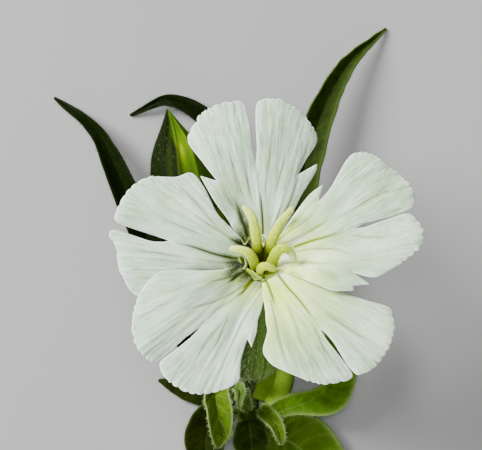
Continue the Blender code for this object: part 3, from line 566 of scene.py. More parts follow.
def circle(around):
    """Angles of points evenly round a circle."""
    return np.linspace(0.0, 2 * math.pi, around, endpoint=False)


def unit(vectors):
    return vectors / np.maximum(np.linalg.norm(vectors, axis=-1, keepdims=True), 1e-9)


def noise(x, y, seed=0):
    """Smooth noise from -1 to 1 over the plane, the same on every run."""
    x, y = np.broadcast_arrays(np.asarray(x, float), np.asarray(y, float))
    i, j = np.floor(x), np.floor(y)
    fx, fy = smooth_step(x - i), smooth_step(y - j)

    def corner(di, dj):
        return np.sin((i + di) * 127.1 + (j + dj) * 311.7 + seed * 74.7) * 43758.5453 % 1.0 * 2.0 - 1.0

    low = corner(0, 0) * (1 - fx) + corner(1, 0) * fx
    high = corner(0, 1) * (1 - fx) + corner(1, 1) * fx
    return low * (1 - fy) + high * fy


def in_blocks(points, measure, size=1500):
    """Applies a measure to flat points a block at a time, and joins its results."""
    blocks = np.array_split(points, len(points) // size + 1)
    return np.concatenate([measure(block) for block in blocks], axis=-1)


def from_line(points, line):
    """Distance from each flat point to a line, and how far along it the nearest place is, 0 to 1."""
    a, edge = line[:-1], np.diff(line, axis=0)
    size = np.maximum((edge ** 2).sum(axis=1), 1e-12)
    at = walked(line)

    def nearest(block):
        rel = block[:, None, :] - a
        along = np.clip((rel * edge).sum(axis=2) / size, 0.0, 1.0)
        gap = np.linalg.norm(rel - along[:, :, None] * edge, axis=2)
        best, rows = gap.argmin(axis=1), np.arange(len(block))
        return np.stack([gap[rows, best], (at[best] + along[rows, best] * np.sqrt(size[best])) / at[-1]])

    return in_blocks(points, nearest)


def is_inside(points, outline):
    """Which flat points lie in a closed outline."""
    ax, ay = outline.T
    bx, by = np.roll(outline, -1, axis=0).T

    def crossed(block):
        x, y = block[:, :1], block[:, 1:]
        left = x < ax + (y - ay) * (bx - ax) / np.where(by == ay, 1.0, by - ay)
        return (((ay > y) != (by > y)) & left).sum(axis=1) % 2 == 1

    return in_blocks(points, crossed)


# ---------------------------------------------------------------- materials

# Sockets that share their name with others of the same node, by number.
ATTRIBUTE_VECTOR, ATTRIBUTE_NUMBER, OBJECT_PLACE = 1, 2, 3
MIX_FIRST, MIX_SECOND, MIX_RESULT = 6, 7, 2


class Value:
    """One socket of a material. Python's operators on it add Math nodes."""

    def __init__(self, look, socket):
        self.look, self.socket = look, socket

    def maths(self, operation, first, second, clamp=False):
        return self.look.node("ShaderNodeMath", {"operation": operation, "use_clamp": clamp},
                              {0: first, 1: second})

    def __add__(self, other):
        return self.maths("ADD", self, other)

    def __rsub__(self, other):
        return self.maths("SUBTRACT", other, self)

    def __mul__(self, other):
        return self.maths("MULTIPLY", self, other)

    def __pow__(self, other):
        return self.maths("POWER", self, other)

    def __rpow__(self, other):
        return self.maths("POWER", other, self)

    __radd__, __rmul__ = __add__, __mul__

    def clamped(self):
        return self.maths("ADD", self, 0.0, clamp=True)

    def spread(self, low, high):
        """0 where the value is low, 1 where it is high, and smooth between them."""
        return self.look.node("ShaderNodeMapRange", {"interpolation_type": "SMOOTHSTEP"},
                              {0: self, 1: low, 2: high})


class Look:
    """A material with one Principled shader. Its base colour is built up in coats. Light comes
    through the piece by a share, over a reach in millimetres, in a tint."""

    def __init__(self, name, specular=0.5, through=0.0, reach=1.0, tint=(1.0, 1.0, 1.0)):
        self.material = bpy.data.materials.new(name)
        self.material.use_nodes = True
        self.tree = self.material.node_tree
        self.shader = self.tree.nodes["Principled BSDF"]
        self.base = None
        for key, value in {"Specular IOR Level": specular, "Subsurface Weight": through,
                           "Subsurface Scale": reach * MM, "Subsurface Radius": tint}.items():
            self.shader.inputs[key].default_value = value

    def node(self, kind, settings=None, values=None, output=0):
        made = self.tree.nodes.new(kind)
        for key, value in (settings or {}).items():
            setattr(made, key, value)
        for key, value in (values or {}).items():
            self.fill(made.inputs[key], value)
        return Value(self, made.outputs[output])

    def fill(self, socket, value):
        if isinstance(value, Value):
            self.tree.links.new(value.socket, socket)
        else:
            socket.default_value = value

    def field(self, name):
        """A number stored on the mesh."""
        return self.node("ShaderNodeAttribute", {"attribute_name": name}, output=ATTRIBUTE_NUMBER)

    def flow(self, x=1.0, y=1.0):
        """The directions along and across a piece, as stored on its mesh, each stretched."""
        vector = self.node("ShaderNodeAttribute", {"attribute_name": "flow"}, output=ATTRIBUTE_VECTOR)
        return self.vector("MULTIPLY", {0: vector, 1: (x, y, 1.0)})

    def place(self):
        """The piece's own coordinates, in millimetres."""
        return self.vector("SCALE", {0: self.node("ShaderNodeTexCoord", output=OBJECT_PLACE), 3: 1 / MM})

    def vector(self, operation, values):
        return self.node("ShaderNodeVectorMath", {"operation": operation}, values)

    def noise(self, vector, scale, detail=2.0, roughness=0.5):
        return self.node("ShaderNodeTexNoise", {},
                         {"Vector": vector, "Scale": scale, "Detail": detail, "Roughness": roughness})

    def cells(self, vector, scale, feature="F1"):
        return self.node("ShaderNodeTexVoronoi", {"feature": feature}, {"Vector": vector, "Scale": scale})

    def mix(self, amount, a, b):
        a, b = [c if isinstance(c, Value) else (*c, 1.0) for c in (a, b)]
        return self.node("ShaderNodeMix", {"data_type": "RGBA", "clamp_factor": True},
                         {0: amount, MIX_FIRST: a, MIX_SECOND: b}, output=MIX_RESULT)

    def coat(self, amount, colour):
        """Covers a share of the base colour so far with another."""
        self.base = self.mix(amount, self.base, colour)

    def finish(self, roughness, relief, depth):
        """Feeds the shader. The relief goes from 0 to 1 over a depth in millimetres."""
        bump = self.node("ShaderNodeBump", {}, {"Distance": depth * MM, "Height": relief})
        for key, value in {"Base Color": self.base, "Roughness": roughness, "Normal": bump}.items():
            self.fill(self.shader.inputs[key], value)
        return self.material


def petal_look():
    c = colours()
    look = Look("campion_petal", 0.035, 0.08, 0.2, (1.0, 1.0, 0.75))
    near, sunny, outer = (look.field(name) for name in ("near", "sunny", "outer"))
    streak = look.noise(look.flow(3.4, 0.25), 1.0, 3.0, 0.6)
    fibre = look.noise(look.flow(7.5, 0.55), 1.0, 3.0, 0.7)
    blotch = look.noise(look.flow(0.45, 0.3), 1.0)
    cloud = look.noise(look.place(), 0.35, 3.0, 0.6)
    speckle = look.noise(look.place(), 7.0, 3.0, 0.75)
    # Painted light and shade: the shaded petals take a cool grey green, and near the throat the lit ones a
    # warm yellow light, where the clouds, fibres and speckles fade.
    outside_painted_light = 1.0 - near * sunny * 0.9
    look.base = look.mix(sunny, Tone.petal_painted_shade_side, c.petal)
    look.coat(near * (0.7 + streak.spread(0.35, 0.65) * 0.3), c.petal_warm)
    look.coat(near * sunny * (0.45 + cloud.spread(0.4, 0.6) * 0.3), Tone.petal_lit)
    look.coat(blotch.spread(0.48, 0.72) * 0.5, Tone.petal_cream)
    look.coat(cloud.spread(0.55, 0.35) * outside_painted_light * 0.35, Tone.petal_cloud)
    look.coat(cloud.spread(0.50, 0.68) * 0.35, Tone.petal_clear)
    look.coat((fibre.spread(0.50, 0.68) * (0.30 + outer * 0.55) * outside_painted_light).clamped(), Tone.petal_fibre)
    look.coat(streak.spread(0.55, 0.38) * fibre.spread(0.58, 0.35) * 0.7, Tone.petal_fibre_light)
    look.coat(speckle.spread(0.50, 0.74) * (0.25 + near * 0.3) * outside_painted_light, Tone.petal_speckle)
    # Painted reflection: a lilac cast along the outer edges.
    look.coat(look.field("hem") * blotch.spread(0.50, 0.62) * 0.4, Tone.petal_edge_painted_reflection)
    # Painted light: pale patches.
    look.coat(look.field("pale"), Tone.petal_painted_light)
    # Veins: olive on the painted shaded side and yellow on the painted lit side.
    look.coat(look.field("vein") * (0.85 + speckle * 0.3), look.mix(sunny, c.petal_vein, c.petal_vein_sunny))
    # Painted shade: patches darkened towards black, speckled.
    shade = look.field("shade") * (0.75 + speckle.spread(0.36, 0.60) * 0.5)
    look.coat(1.0 - 0.03 ** shade, Tone.black)
    # Painted shade in the creases.
    look.coat(look.field("crease") * 0.95, c.petal_shade)
    # Painted highlights along the ridges and the petals' edges.
    look.coat((look.field("ridge") * 0.7 + look.field("painted_edge_highlight")).clamped(), Tone.petal_painted_highlight)
    # The olive bend into the throat, in a lighter copy on the painted lit side.
    look.coat(look.field("mouth"), look.mix(sunny, c.petal_mouth, Tone.petal_mouth_lit))
    # Painted shade: the claws deep in the throat go near black.
    look.coat(look.field("throat"), c.throat)
    # Painted light: near the throat on the lit side the colour keeps its full brightness, elsewhere it is
    # dimmed.
    look.base = look.vector("SCALE", {0: look.base, 3: 0.72 + look.field("painted_glow") * 0.28})
    return look.finish(0.6 + streak * 0.15, streak * 0.3 + fibre * 0.45 + speckle * 0.25, 0.16)


def style_look():
    c = colours()
    look = Look("campion_style", 0.02, 0.08, 0.12, (1.0, 1.0, 0.2))
    along = look.field("along")
    grain = look.cells(look.place(), 8.5)
    mottle = look.noise(look.place(), 7.0, 3.0, 0.75)
    tip = along.spread(0.78, 1.0)
    look.base = look.mix(along.spread(0.48, 0.74), c.style_base, c.style)
    edges = look.field("rim") * along.spread(0.55, 0.85) * 0.85
    look.coat((edges + along.spread(0.70, 0.96) * 0.3 + tip * 0.35).clamped(), c.style_tip)
    rough = grain.spread(0.35, 0.8) * 0.4 + mottle.spread(0.48, 0.66) * 0.45
    look.coat(rough * (1.0 - tip * 0.6), c.style_base)
    look.coat(mottle.spread(0.46, 0.34) * along.spread(0.5, 0.8) * 0.5, c.style_tip)
    # Paler tips: their own colour, and painted light on a tip that turns down.
    look.coat(look.field("pale"), Tone.style_pale)
    # Painted shade low in the throat.
    look.coat(look.field("deep"), Tone.style_painted_shade)
    return look.finish(0.55 + mottle * 0.2, (1.0 - grain) * 0.6 + mottle * 0.4, 0.14)


def calyx_look():
    c = colours()
    look = Look("campion_calyx", 0.145, 0.15, 0.4, (0.8, 1.0, 0.2))
    rib = look.field("rib")
    mottle = look.noise(look.place(), 1.6, 4.0, 0.6)
    net = look.cells(look.flow(1.0, 0.7), 2.2, "DISTANCE_TO_EDGE")
    grain = look.noise(look.place(), 9.0, 3.0)
    look.base = look.mix(look.field("along").spread(0.35, 0.0), c.calyx, Tone.calyx_base)
    look.coat(net.spread(0.10, 0.0) * 0.35, c.calyx_rib)
    look.coat(rib * 0.9, c.calyx_rib)
    look.coat(mottle.spread(0.45, 0.75) * 0.4, Tone.calyx_mottle)
    # Painted shade down the calyx's left side.
    look.coat(look.field("left") * 0.9, Tone.calyx_shaded)
    return look.finish(0.5 + mottle * 0.2, grain * 0.6 + rib * 0.4, 0.05)


def stem_look():
    c = colours()
    look = Look("campion_stem", 0.035)
    streak = look.noise(look.flow(5.0, 0.5), 1.0, 3.0, 0.6)
    grain = look.noise(look.place(), 8.0, 3.0)
    # The stalks' colour is darkened as painted shade.
    look.base = look.mix(streak.spread(0.4, 0.7) * 0.6, c.stem, Tone.stem_streak)
    look.coat(look.noise(look.place(), 0.9, 3.0).spread(0.5, 0.75) * 0.4, Tone.stem_mottle)
    look.coat(look.field("cut"), c.stem_pith)
    return look.finish(0.45 + streak * 0.2, streak * 0.7 + grain * 0.3, 0.05)


def leaf_look(name):
    blade, dark, edge, _ = LEAF_LOOKS[name]
    look = Look("campion_leaf_" + name, 0.03, 0.12, 0.4, (0.6, 1.0, 0.1))
    mottle = look.noise(look.flow(0.8, 0.45), 1.0, 4.0, 0.6)
    cells = look.cells(look.flow(2.6, 1.7), 1.0, "DISTANCE_TO_EDGE")
    grain = look.noise(look.place(), 8.0, 3.0)
    look.base = look.mix(mottle.spread(0.35, 0.7) * 0.8, blade, dark)
    look.coat(cells.spread(0.12, 0.0) * 0.35, dark)
    look.coat(look.field("rib") * 0.45, edge)
    look.coat(look.field("young") * (0.55 + mottle * 0.5), Tone.leaf_young)
    look.coat(look.field("rim") ** 1.4 * 0.85, edge)
    return look.finish(0.5 + mottle * 0.2, cells.spread(0.0, 0.2) * 0.5 + grain * 0.4, 0.035)


def bud_look():
    c = colours()
    look = Look("campion_bud", 0.03, 0.15, 0.4, (0.8, 1.0, 0.1))
    mottle = look.noise(look.place(), 1.3, 4.0, 0.6)
    look.base = look.mix(look.field("rib") ** 1.5 * 0.9, c.bud, c.bud_rib)
    look.coat(mottle.spread(0.45, 0.75) * 0.45, Tone.bud_mottle)
    # Painted light and shade: a lit streak, near black on the sides turned away, and a lighter green on the
    # side towards the light.
    look.coat(look.field("painted_streak") * 0.95, Tone.bud_painted_light)
    look.coat(look.field("dark") * 0.97, Tone.bud_painted_shade)
    look.coat(look.field("ridge") * 0.2, Tone.bud_crest)
    look.coat(look.field("green") * 0.85, Tone.bud_painted_lit_side)
    return look.finish(0.5 + mottle * 0.15, look.noise(look.place(), 9.0, 3.0), 0.05)


def ovary_look():
    look = Look("campion_ovary", 0.5, 0.2, 0.5, (0.8, 1.0, 0.2))
    mottle = look.noise(look.place(), 2.2, 4.0)
    look.base = look.mix(mottle.spread(0.4, 0.7) * 0.5, colours().ovary, Tone.ovary_mottle)
    return look.finish(0.35 + mottle * 0.15, mottle, 0.04)


def hair_look():
    """The hairs' finish, made once and shared by every hairy piece."""
    if "campion_hair" in bpy.data.materials:
        return bpy.data.materials["campion_hair"]
    look = Look("campion_hair", 0.5, 0.3, 0.05, (1.0, 1.0, 0.6))
    # Dim hairs carry painted shade.
    look.base = look.mix(look.field("dim"), colours().hair, Tone.hair_painted_shade)
    return look.finish(0.45, look.noise(look.place(), 12.0), 0.005)


def table_look():
    look = Look("campion_table")
    speck = look.noise(look.place(), 0.05)
    look.base = look.mix(speck.spread(0.3, 0.7) * 0.08, colours().floor, Tone.table_speck)
    return look.finish(0.8, speck, 0.01)


# ---------------------------------------------------------------- pieces

def on_points(values, shape):
    """A field at every point of a grid: one number each, or three from a tuple."""
    values = values if isinstance(values, tuple) else (values,)
    return np.stack([np.broadcast_to(value, shape) for value in values], axis=-1).reshape(-1, len(values))


def add_piece(node, sheets, material, origin, thickness=0.0, offset=0.0, part=""):
    """Makes the piece that stands for a CAD node, from sheets of (points, faces, fields). Points are in
    millimetres from the origin. A field is 0 on a sheet that lacks it, and the field "body" gives the
    share of the thickness."""
    name = "flower_" + node + part
    shapes = [np.shape(points)[:-1] for points, _, _ in sheets]
    starts = np.cumsum([0] + [math.prod(shape) for shape in shapes]).tolist()
    points = np.vstack([np.reshape(points, (-1, 3)) for points, _, _ in sheets])
    faces = [[start + corner for corner in face] for start, sheet in zip(starts, sheets) for face in sheet[1]]
    mesh = bpy.data.meshes.new(name)
    mesh.from_pydata(((points + origin) * MM).tolist(), [], faces)
    data = {}
    for key, first in sheets[0][2].items():
        none = (0.0, 0.0, 0.0) if isinstance(first, tuple) else 0.0
        data[key] = np.concatenate([on_points(sheet[2].get(key, none), shape)
                                    for sheet, shape in zip(sheets, shapes)])
        kind, entry = ("FLOAT", "value") if data[key].shape[1] == 1 else ("FLOAT_VECTOR", "vector")
        mesh.attributes.new(key, kind, "POINT").data.foreach_set(entry, data[key].astype(float).ravel())
    mesh.shade_smooth()
    mesh.materials.append(material)
    piece = bpy.data.objects.new(name, mesh)
    bpy.context.scene.collection.objects.link(piece)
    if thickness:
        shell = piece.modifiers.new("thickness", "SOLIDIFY")
        shell.thickness, shell.offset = thickness * MM, offset
        shell.use_even_offset = False
        if "body" in data:
            group = piece.vertex_groups.new(name="body")
            for index, weight in enumerate(data["body"][:, 0].tolist()):
                group.add([index], weight, "REPLACE")
            shell.vertex_group = "body"
            shell.thickness_vertex_group = THINNEST
    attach(piece, "root")
    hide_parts(node)


def grid_faces(rows, columns, closed=False, turned_over=False):
    """Quads over rows of points. A closed grid joins its last column to its first."""
    corners = np.arange(rows * columns).reshape(rows, columns)
    if closed:
        corners = np.hstack([corners, corners[:, :1]])
    quads = np.stack([corners[:-1, :-1], corners[:-1, 1:], corners[1:, 1:], corners[1:, :-1]], axis=-1)
    return quads.reshape(-1, 4)[:, ::-1 if turned_over else 1].tolist()


def rings(base, axis, side, along, radius, angle):
    """Rings of points round an axis: how far along it each ring is, and the radius at each angle."""
    ring = side * np.cos(angle)[:, None] + np.cross(axis, side) * np.sin(angle)[:, None]
    return base + axis * along[:, None, None] + ring * np.maximum(radius, 0.0)[..., None]


def tube_axis():
    """Unit vector from the base of the calyx to the throat."""
    lean, yaw = math.radians(CALYX_TILT), math.radians(CALYX_YAW)
    return np.array([math.cos(yaw) * math.sin(lean), math.sin(yaw) * math.sin(lean), math.cos(lean)])


AXIS = tube_axis()
ACROSS = unit(np.array([1.0, 0.0, 0.0]) - AXIS * AXIS[0])
AROUND = np.cross(AXIS, ACROSS)


def on_axis(along, radius=0.0, angle=0.0):
    """Points beside the tube's axis, from the throat."""
    along, radius, angle = (np.asarray(x, float)[..., None] for x in (along, radius, angle))
    return AXIS * along + (ACROSS * np.cos(angle) + AROUND * np.sin(angle)) * radius


# ---------------------------------------------------------------- hairs

def add_hairs(node, roots, directions, reach, origin, seed, dim):
    """Short bent hairs, one at each root, all in one piece. Each is a thin spike with three sides.
    A dim of 0 makes them pale, and 1 as dark as the darkest leaves: painted shade on the hairs of shaded
    pieces."""
    dice = np.random.default_rng(seed)
    directions = unit(unit(directions) + dice.normal(0.0, HAIR_SCATTER, roots.shape))
    reach = (reach * dice.uniform(HAIR_SHORTEST, HAIR_LONGEST, len(roots)))[:, None]
    droop = dice.normal(0.0, 1.0, roots.shape)
    droop = unit(droop - directions * (droop * directions).sum(axis=1, keepdims=True)) * reach * HAIR_DROOP
    side = unit(np.cross(directions, droop))
    up = np.cross(side, directions)
    thick = sizes().hair_thickness / 2
    middle = roots + directions * reach * HAIR_BEND + droop * 0.3
    points = [centre + (side * math.cos(angle) + up * math.sin(angle)) * radius
              for centre, radius in ((roots - directions * HAIR_ROOT, thick), (middle, thick * 0.7))
              for angle in circle(3)]
    points.append(roots + directions * reach * 0.95 + droop)
    pattern = [(0, 1, 4, 3), (1, 2, 5, 4), (2, 0, 3, 5), (3, 4, 6), (4, 5, 6), (5, 3, 6)]
    faces = [[7 * hair + corner for corner in face] for hair in range(len(roots)) for face in pattern]
    add_piece(node, [(np.stack(points, axis=1), faces, {"dim": dim})], hair_look(), origin,
              part="_hairs")


def scattered(grid, number, seed, closed=False):
    """Random places on a grid of points, each with the grid's own direction there."""
    dice = np.random.default_rng(seed)
    if closed:
        grid = np.concatenate([grid, grid[:, :1]], axis=1)
    along, across = np.diff(grid, axis=0)[:, :-1], np.diff(grid, axis=1)[:-1]
    normals = np.cross(across, along)
    area = np.linalg.norm(normals, axis=2)
    pick = dice.choice(area.size, number, p=(area / area.sum()).ravel())
    i, j = np.unravel_index(pick, area.shape)
    s, t = dice.random((2, number, 1))
    return grid[i, j] + along[i, j] * s + across[i, j] * t, unit(normals[i, j])


# ---------------------------------------------------------------- petals

def limb_height(petal, u, v):
    """Height of the limb over the throat: the face leans, and each petal rises and then bends back."""
    heading = math.radians(petal["limb"])
    y = u * math.sin(heading) + v * math.cos(heading)
    rise = math.tan(math.radians(LIMB_FUNNEL)) * np.hypot(u, v) - math.tan(math.radians(LIMB_TILT)) * y
    bend = LIMB_BEND * np.maximum(0.0, u - LIMB_BEND_FROM) ** 2 + LIMB_CROWN * v * v
    lift = np.where(v > 0, *petal["lift"])
    tuck = petal["tuck"] * spread(abs(v), 0.3, 1.5) * spread(u, 7.5, 4.0)
    return rise - bend - tuck + lift * smooth_step((abs(v) - LIFT_START) / LIFT_SPAN)


def petal_point(petal, u, v, relief=0.0):
    """Maps the flat petal (u along, v across) onto its claw in the tube and its limb over the throat."""
    heading = math.radians(petal["limb"])
    limb = np.stack([u * math.cos(heading) - v * math.sin(heading),
                     u * math.sin(heading) + v * math.cos(heading),
                     limb_height(petal, u, v) + relief], axis=-1)
    along = u - THROAT_RADIUS
    radius = read_profile(CLAW_OUT, along)
    claw = on_axis(along, radius, math.radians(petal["claw"]) + v / radius)
    blend = spread(u, BEND_START, BEND_END)[..., None]
    return claw * (1 - blend) + limb * blend


def scalloped(line, end, side, depth, seed):
    """Moves a line's points out and in, as fine uneven scallops along the outer quarter of a lobe."""
    at = walked(line)
    free = np.minimum(np.minimum(at, at[-1] - at) / 0.5, 1.0)
    free = free * spread(line[:, 0], 0.74 * end, 0.84 * end) * spread(abs(line[:, 1]), 0.7, 1.6)
    arcs = at / SCALLOP_WIDTH + 1.1 * noise(at / 1.5, 2.0, seed)
    height = 0.5 + 0.5 * abs(noise(np.floor(arcs) + 0.5, 9.0, seed))
    wave = ((4 * (arcs % 1.0) * (1 - arcs % 1.0)) ** 0.45 - 0.7) * height + 0.15 * noise(at / 1.8, 4.0, seed)
    ahead = unit(np.gradient(line, axis=0))
    out = np.stack([ahead[:, 1], -ahead[:, 0]], axis=1) * -side
    return line + out * (free * wave * depth)[:, None]


def petal_edge(points, side, scallop, seed):
    """One edge of the limb from the claw to the notch, smooth between its sharp corners."""
    end = max(point[0] for point in points)
    edge, run = [], []
    for i, point in enumerate(points):
        run.append((point[0], point[1] * side))
        if SHARP in point or i == len(points) - 1:
            if len(run) > 1:
                line = spaced(smooth_line(run, 12), sizes().petal_mesh * 0.8)
                edge.append(scalloped(line, end, side, sizes().scallop * scallop, seed)[:-1])
            run = run[-1:]
    return np.vstack([*edge, run])


def petal_sheet(petal, seed):
    """The flat petal: its points and triangles, and its closed outline."""
    claw = spaced(np.array([(u, read_profile(CLAW_HALF_WIDTH, u)) for u in CLAW_STATIONS]), 0.35)
    right = np.vstack([claw * (1, -1), petal_edge(petal["right"], -1, petal["scallop"], seed)])
    left = np.vstack([claw, petal_edge(petal["left"], 1, petal["scallop"], seed + 1)])
    outline = np.vstack([right, [(petal["notch"], 0.0)], left[::-1]])

    # An even lattice, thinned in the claw, leaves room for rows of points along the lines and the edge.
    step = sizes().petal_mesh
    rows, columns = np.arange(*SHEET_ALONG, step * ROW_PITCH), np.arange(*SHEET_ACROSS, step)
    u, v = np.meshgrid(rows, columns, indexing="ij")
    v = v + (np.arange(len(rows)) % 2)[:, None] * step / 2
    lattice = np.stack([u.ravel(), v.ravel()], axis=1)
    lattice = lattice[(lattice[:, 0] > -1.0) | (np.arange(len(lattice)) % 4 == 0)]
    followed = []
    for kind, points in petal["lines"]:
        line = spaced(smooth_line(points, 8), 0.11)
        ahead = unit(np.gradient(line, axis=0))
        across = np.stack([-ahead[:, 1], ahead[:, 0]], axis=1)
        width = LINES[kind][1]
        followed += [line + across * width * offset for offset in BESIDE_LINE]
        lattice = lattice[from_line(lattice, line)[0] > width * BESIDE_LINE[-1] + step * 0.4]
    fill = np.vstack([*followed, lattice])
    _, first = np.unique(np.round(fill / MERGED), axis=0, return_index=True)
    fill = fill[np.sort(first)]
    fill = fill[is_inside(fill, outline)]
    closed = np.vstack([outline, outline[:1]])
    fill = fill[from_line(fill, closed)[0] > step * 0.45]

    corners = list(range(len(outline)))
    edges = list(zip(corners, corners[1:] + corners[:1]))
    points = [Vector(p) for p in np.vstack([outline, fill])]
    flat, _, faces, *_ = delaunay_2d_cdt(points, edges, [corners], 1, 1e-6)
    return np.array(flat), faces, closed


def petal_marks(petal, painted_places, flat):
    """The relief of a petal's lines, and its fields for its lines, painted shade and painted light."""
    u, v = flat.T
    relief = 0 * u
    marks = {key: 0 * u for key in ("vein", "crease", "ridge", "shade", "pale")}

    def mark(key, amount):
        marks[key] = np.maximum(marks[key], amount)

    for kind, points in petal["lines"]:
        height, width, *strengths = LINES[kind]
        gap, along = from_line(flat, spaced(smooth_line(points, 8), 0.1))
        fade_in = 4.0 if kind == "ridge" or points[0][0] > 3.5 else 1e3
        fade = smooth_step(np.minimum(along * fade_in, (1 - along) * 2.2))
        relief = relief + height * (bell(gap, width) * fade)
        for key, strength in zip(("vein", "crease", "ridge"), strengths):
            mark(key, strength * (np.clip(1.5 * bell(gap, width), 0, 1) * fade))
    # Patches of painted shade, and of painted light where the strength is negative.
    for along, across, long, wide, strength in painted_places:
        patch = bell(u - along, long) * bell(v - across, wide)
        mark("shade" if strength > 0 else "pale", abs(strength) * patch)
    return relief, marks


def scale_sheet(petal, seed, number, shade, olive, rim, foot, top):
    """A small frilled flap between two lines: its points, faces and fields."""
    foot, top = (smooth_line(line, 10) for line in (foot, top))
    columns = 9
    up = np.linspace(0.0, 1.0, columns)
    points = foot[:, None] * (1 - up[:, None]) + top[:, None] * up[:, None]
    points = points + (0.0, 0.0, 0.12) * np.sin(math.pi * up)[:, None]
    frill = noise(np.linspace(0.0, 9.0, len(foot))[:, None], 0.0, seed + number) * up ** 2 * 0.06
    points = points + frill[..., None] * (0.6, 0.6, 1.0)
    ripple = np.linspace(0.0, 3.0, points.size // 3).reshape(len(foot), columns)
    # Painted shade towards the foot, and a painted highlight along the rim.
    fields = {"painted_edge_highlight": spread(up, 0.8, 1.0) * rim, "near": 1.0, "flow": (up * 2, ripple, seed),
              "body": 0.1 - 0.1 * up, "shade": shade * (1 - 0.75 * up), "mouth": olive,
              "sunny": max(petal["sunny"], 0.8)}
    return points, grid_faces(len(foot), columns), fields


def add_petal(name, petal, material, seed):
    size = sizes()
    flat, faces, closed = petal_sheet(petal, seed)
    u, v = flat.T
    reach, fan = np.hypot(u, v), np.arctan2(v, u + 1.0)
    edge = from_line(flat, closed)[0]
    relief, marks = petal_marks(petal, PAINTED_SHADE_AND_LIGHT[name], flat)

    pleats = noise(fan * 34.0, reach * 0.25, seed) + 0.8 * noise(fan * 70.0, reach * 0.5, seed + 5)
    waves = noise(fan * 6.0, reach * 0.16, seed + 9) * spread(reach, 2.0, 6.0)
    ruffles = noise(fan * 9.0, reach * 0.1, seed + 13) + 0.5 * noise(fan * 24.0, reach * 0.2, seed + 17)
    rim_zone = np.exp(-edge / 1.1) * spread(u, 0.55 * u.max(), 0.75 * u.max())
    relief = relief + size.pleat * pleats * (0.25 + 0.75 * spread(reach, 3.0, 10.0))
    relief = relief + size.waviness * waves + size.ruffle * ruffles * rim_zone
    relief = relief - 0.10 * np.exp(-edge / 0.25) * spread(reach, 3.0, 5.0)

    outer = spread(reach, 7.0, 13.0)
    fields = {
        **marks, "outer": outer, "hem": bell(edge, 0.8) * outer, "sunny": petal["sunny"],
        "near": spread(reach, petal["warm"], 1.3),
        # Painted highlight along the edge.
        "painted_edge_highlight": bell(edge, 0.08) * spread(reach, 3.0, 5.0),
        "mouth": spread(u, petal["mouth"], petal["mouth"] - 0.4) * 0.9,
        "throat": spread(u, petal["dark"], petal["dark"] - 0.9),
        "painted_glow": spread(reach, petal["painted_glow"], petal["painted_glow"] - 7.0),
        "flow": (fan * 12.0, reach, seed),
        "body": np.clip(0.25 + edge / 0.7, 0.0, 1.0),
    }
    sheets = [(petal_point(petal, u, v, relief), faces, fields)]
    sheets += [scale_sheet(petal, seed, number, *scale) for number, scale in enumerate(SCALES[name])]
    add_piece(name, sheets, material, THROAT, size.petal_thickness)


# ---------------------------------------------------------------- tubes, turned parts and leaves

def tube(line, half_widths, flatness, first_side, around):
    """A closed grid around a line, without twist, and its angles. Flatness 1 is round, less is flatter."""
    ahead = unit(np.gradient(line, axis=0))
    sides, side = [], np.asarray(first_side, float)
    for direction in ahead:
        side = unit(side - direction * side.dot(direction))
        sides.append(side)
    sides = np.array(sides)[:, None]
    angle = circle(around)
    ring = sides * np.cos(angle)[:, None]
    ring = ring + np.cross(sides, ahead[:, None]) * (np.sin(angle) * flatness)[:, None]
    return line[:, None] + ring * np.asarray(half_widths)[:, None, None], angle


def add_style(name, style, material, seed):
    root = on_axis(*np.array(STYLE_ROOTS).T, math.radians(style["heading"]))
    line = spaced(smooth_line(np.vstack([root, style["line"]]), 16), 0.07)
    rows, around = len(line), 40
    along = walked(line) / walked(line)[-1]
    width = sizes().style_width * read_profile(STYLE_PROFILE, along)
    width = width * (1.0 + 0.07 * noise(along * 24.0, 0.0, seed))
    width = width * (1.0 + style["foot"] * bell(along - 0.53, 0.09))
    tip_side = unit(np.cross(line[-1] - line[-4], (0.0, 0.0, 1.0)))
    from_tip, angle = tube(line[::-1], width[::-1], STYLE_FLATNESS, tip_side, around)
    grid = from_tip[::-1]
    wave = 0.03 * noise(angle * 6.0, np.arange(rows)[:, None] * 0.7, seed)
    grid = grid + unit(grid - line[:, None]) * wave[..., None]
    along = along[:, None]
    # Pale is partly painted light, and deep is painted shade below the style's dark height.
    fields = {"along": along * style["tone"], "rim": abs(np.cos(angle)) ** 4,
              "pale": spread(along, 0.84, 0.96) * style["pale"],
              "deep": spread(grid[..., 2], style["dark"] + 0.35, style["dark"] - 0.35)}
    ends = [list(range(around)), list(range(rows * around - 1, (rows - 1) * around - 1, -1))]
    faces = grid_faces(rows, around, closed=True, turned_over=True) + ends
    add_piece(name, [(grid, faces, fields)], material, THROAT)


def add_turned(node, profile, material):
    """A part inside the calyx, turned round the tube's axis."""
    along, radius = spaced(smooth_line(profile, 12), 0.14).T
    side = unit(np.cross(AXIS, (0.3, 1.0, 0.1)))
    around = 48
    grid = rings(0.0, AXIS, side, along, radius[:, None], circle(around))
    faces = grid_faces(len(along), around, closed=True)
    add_piece(node, [(grid, faces, {})], material, THROAT)


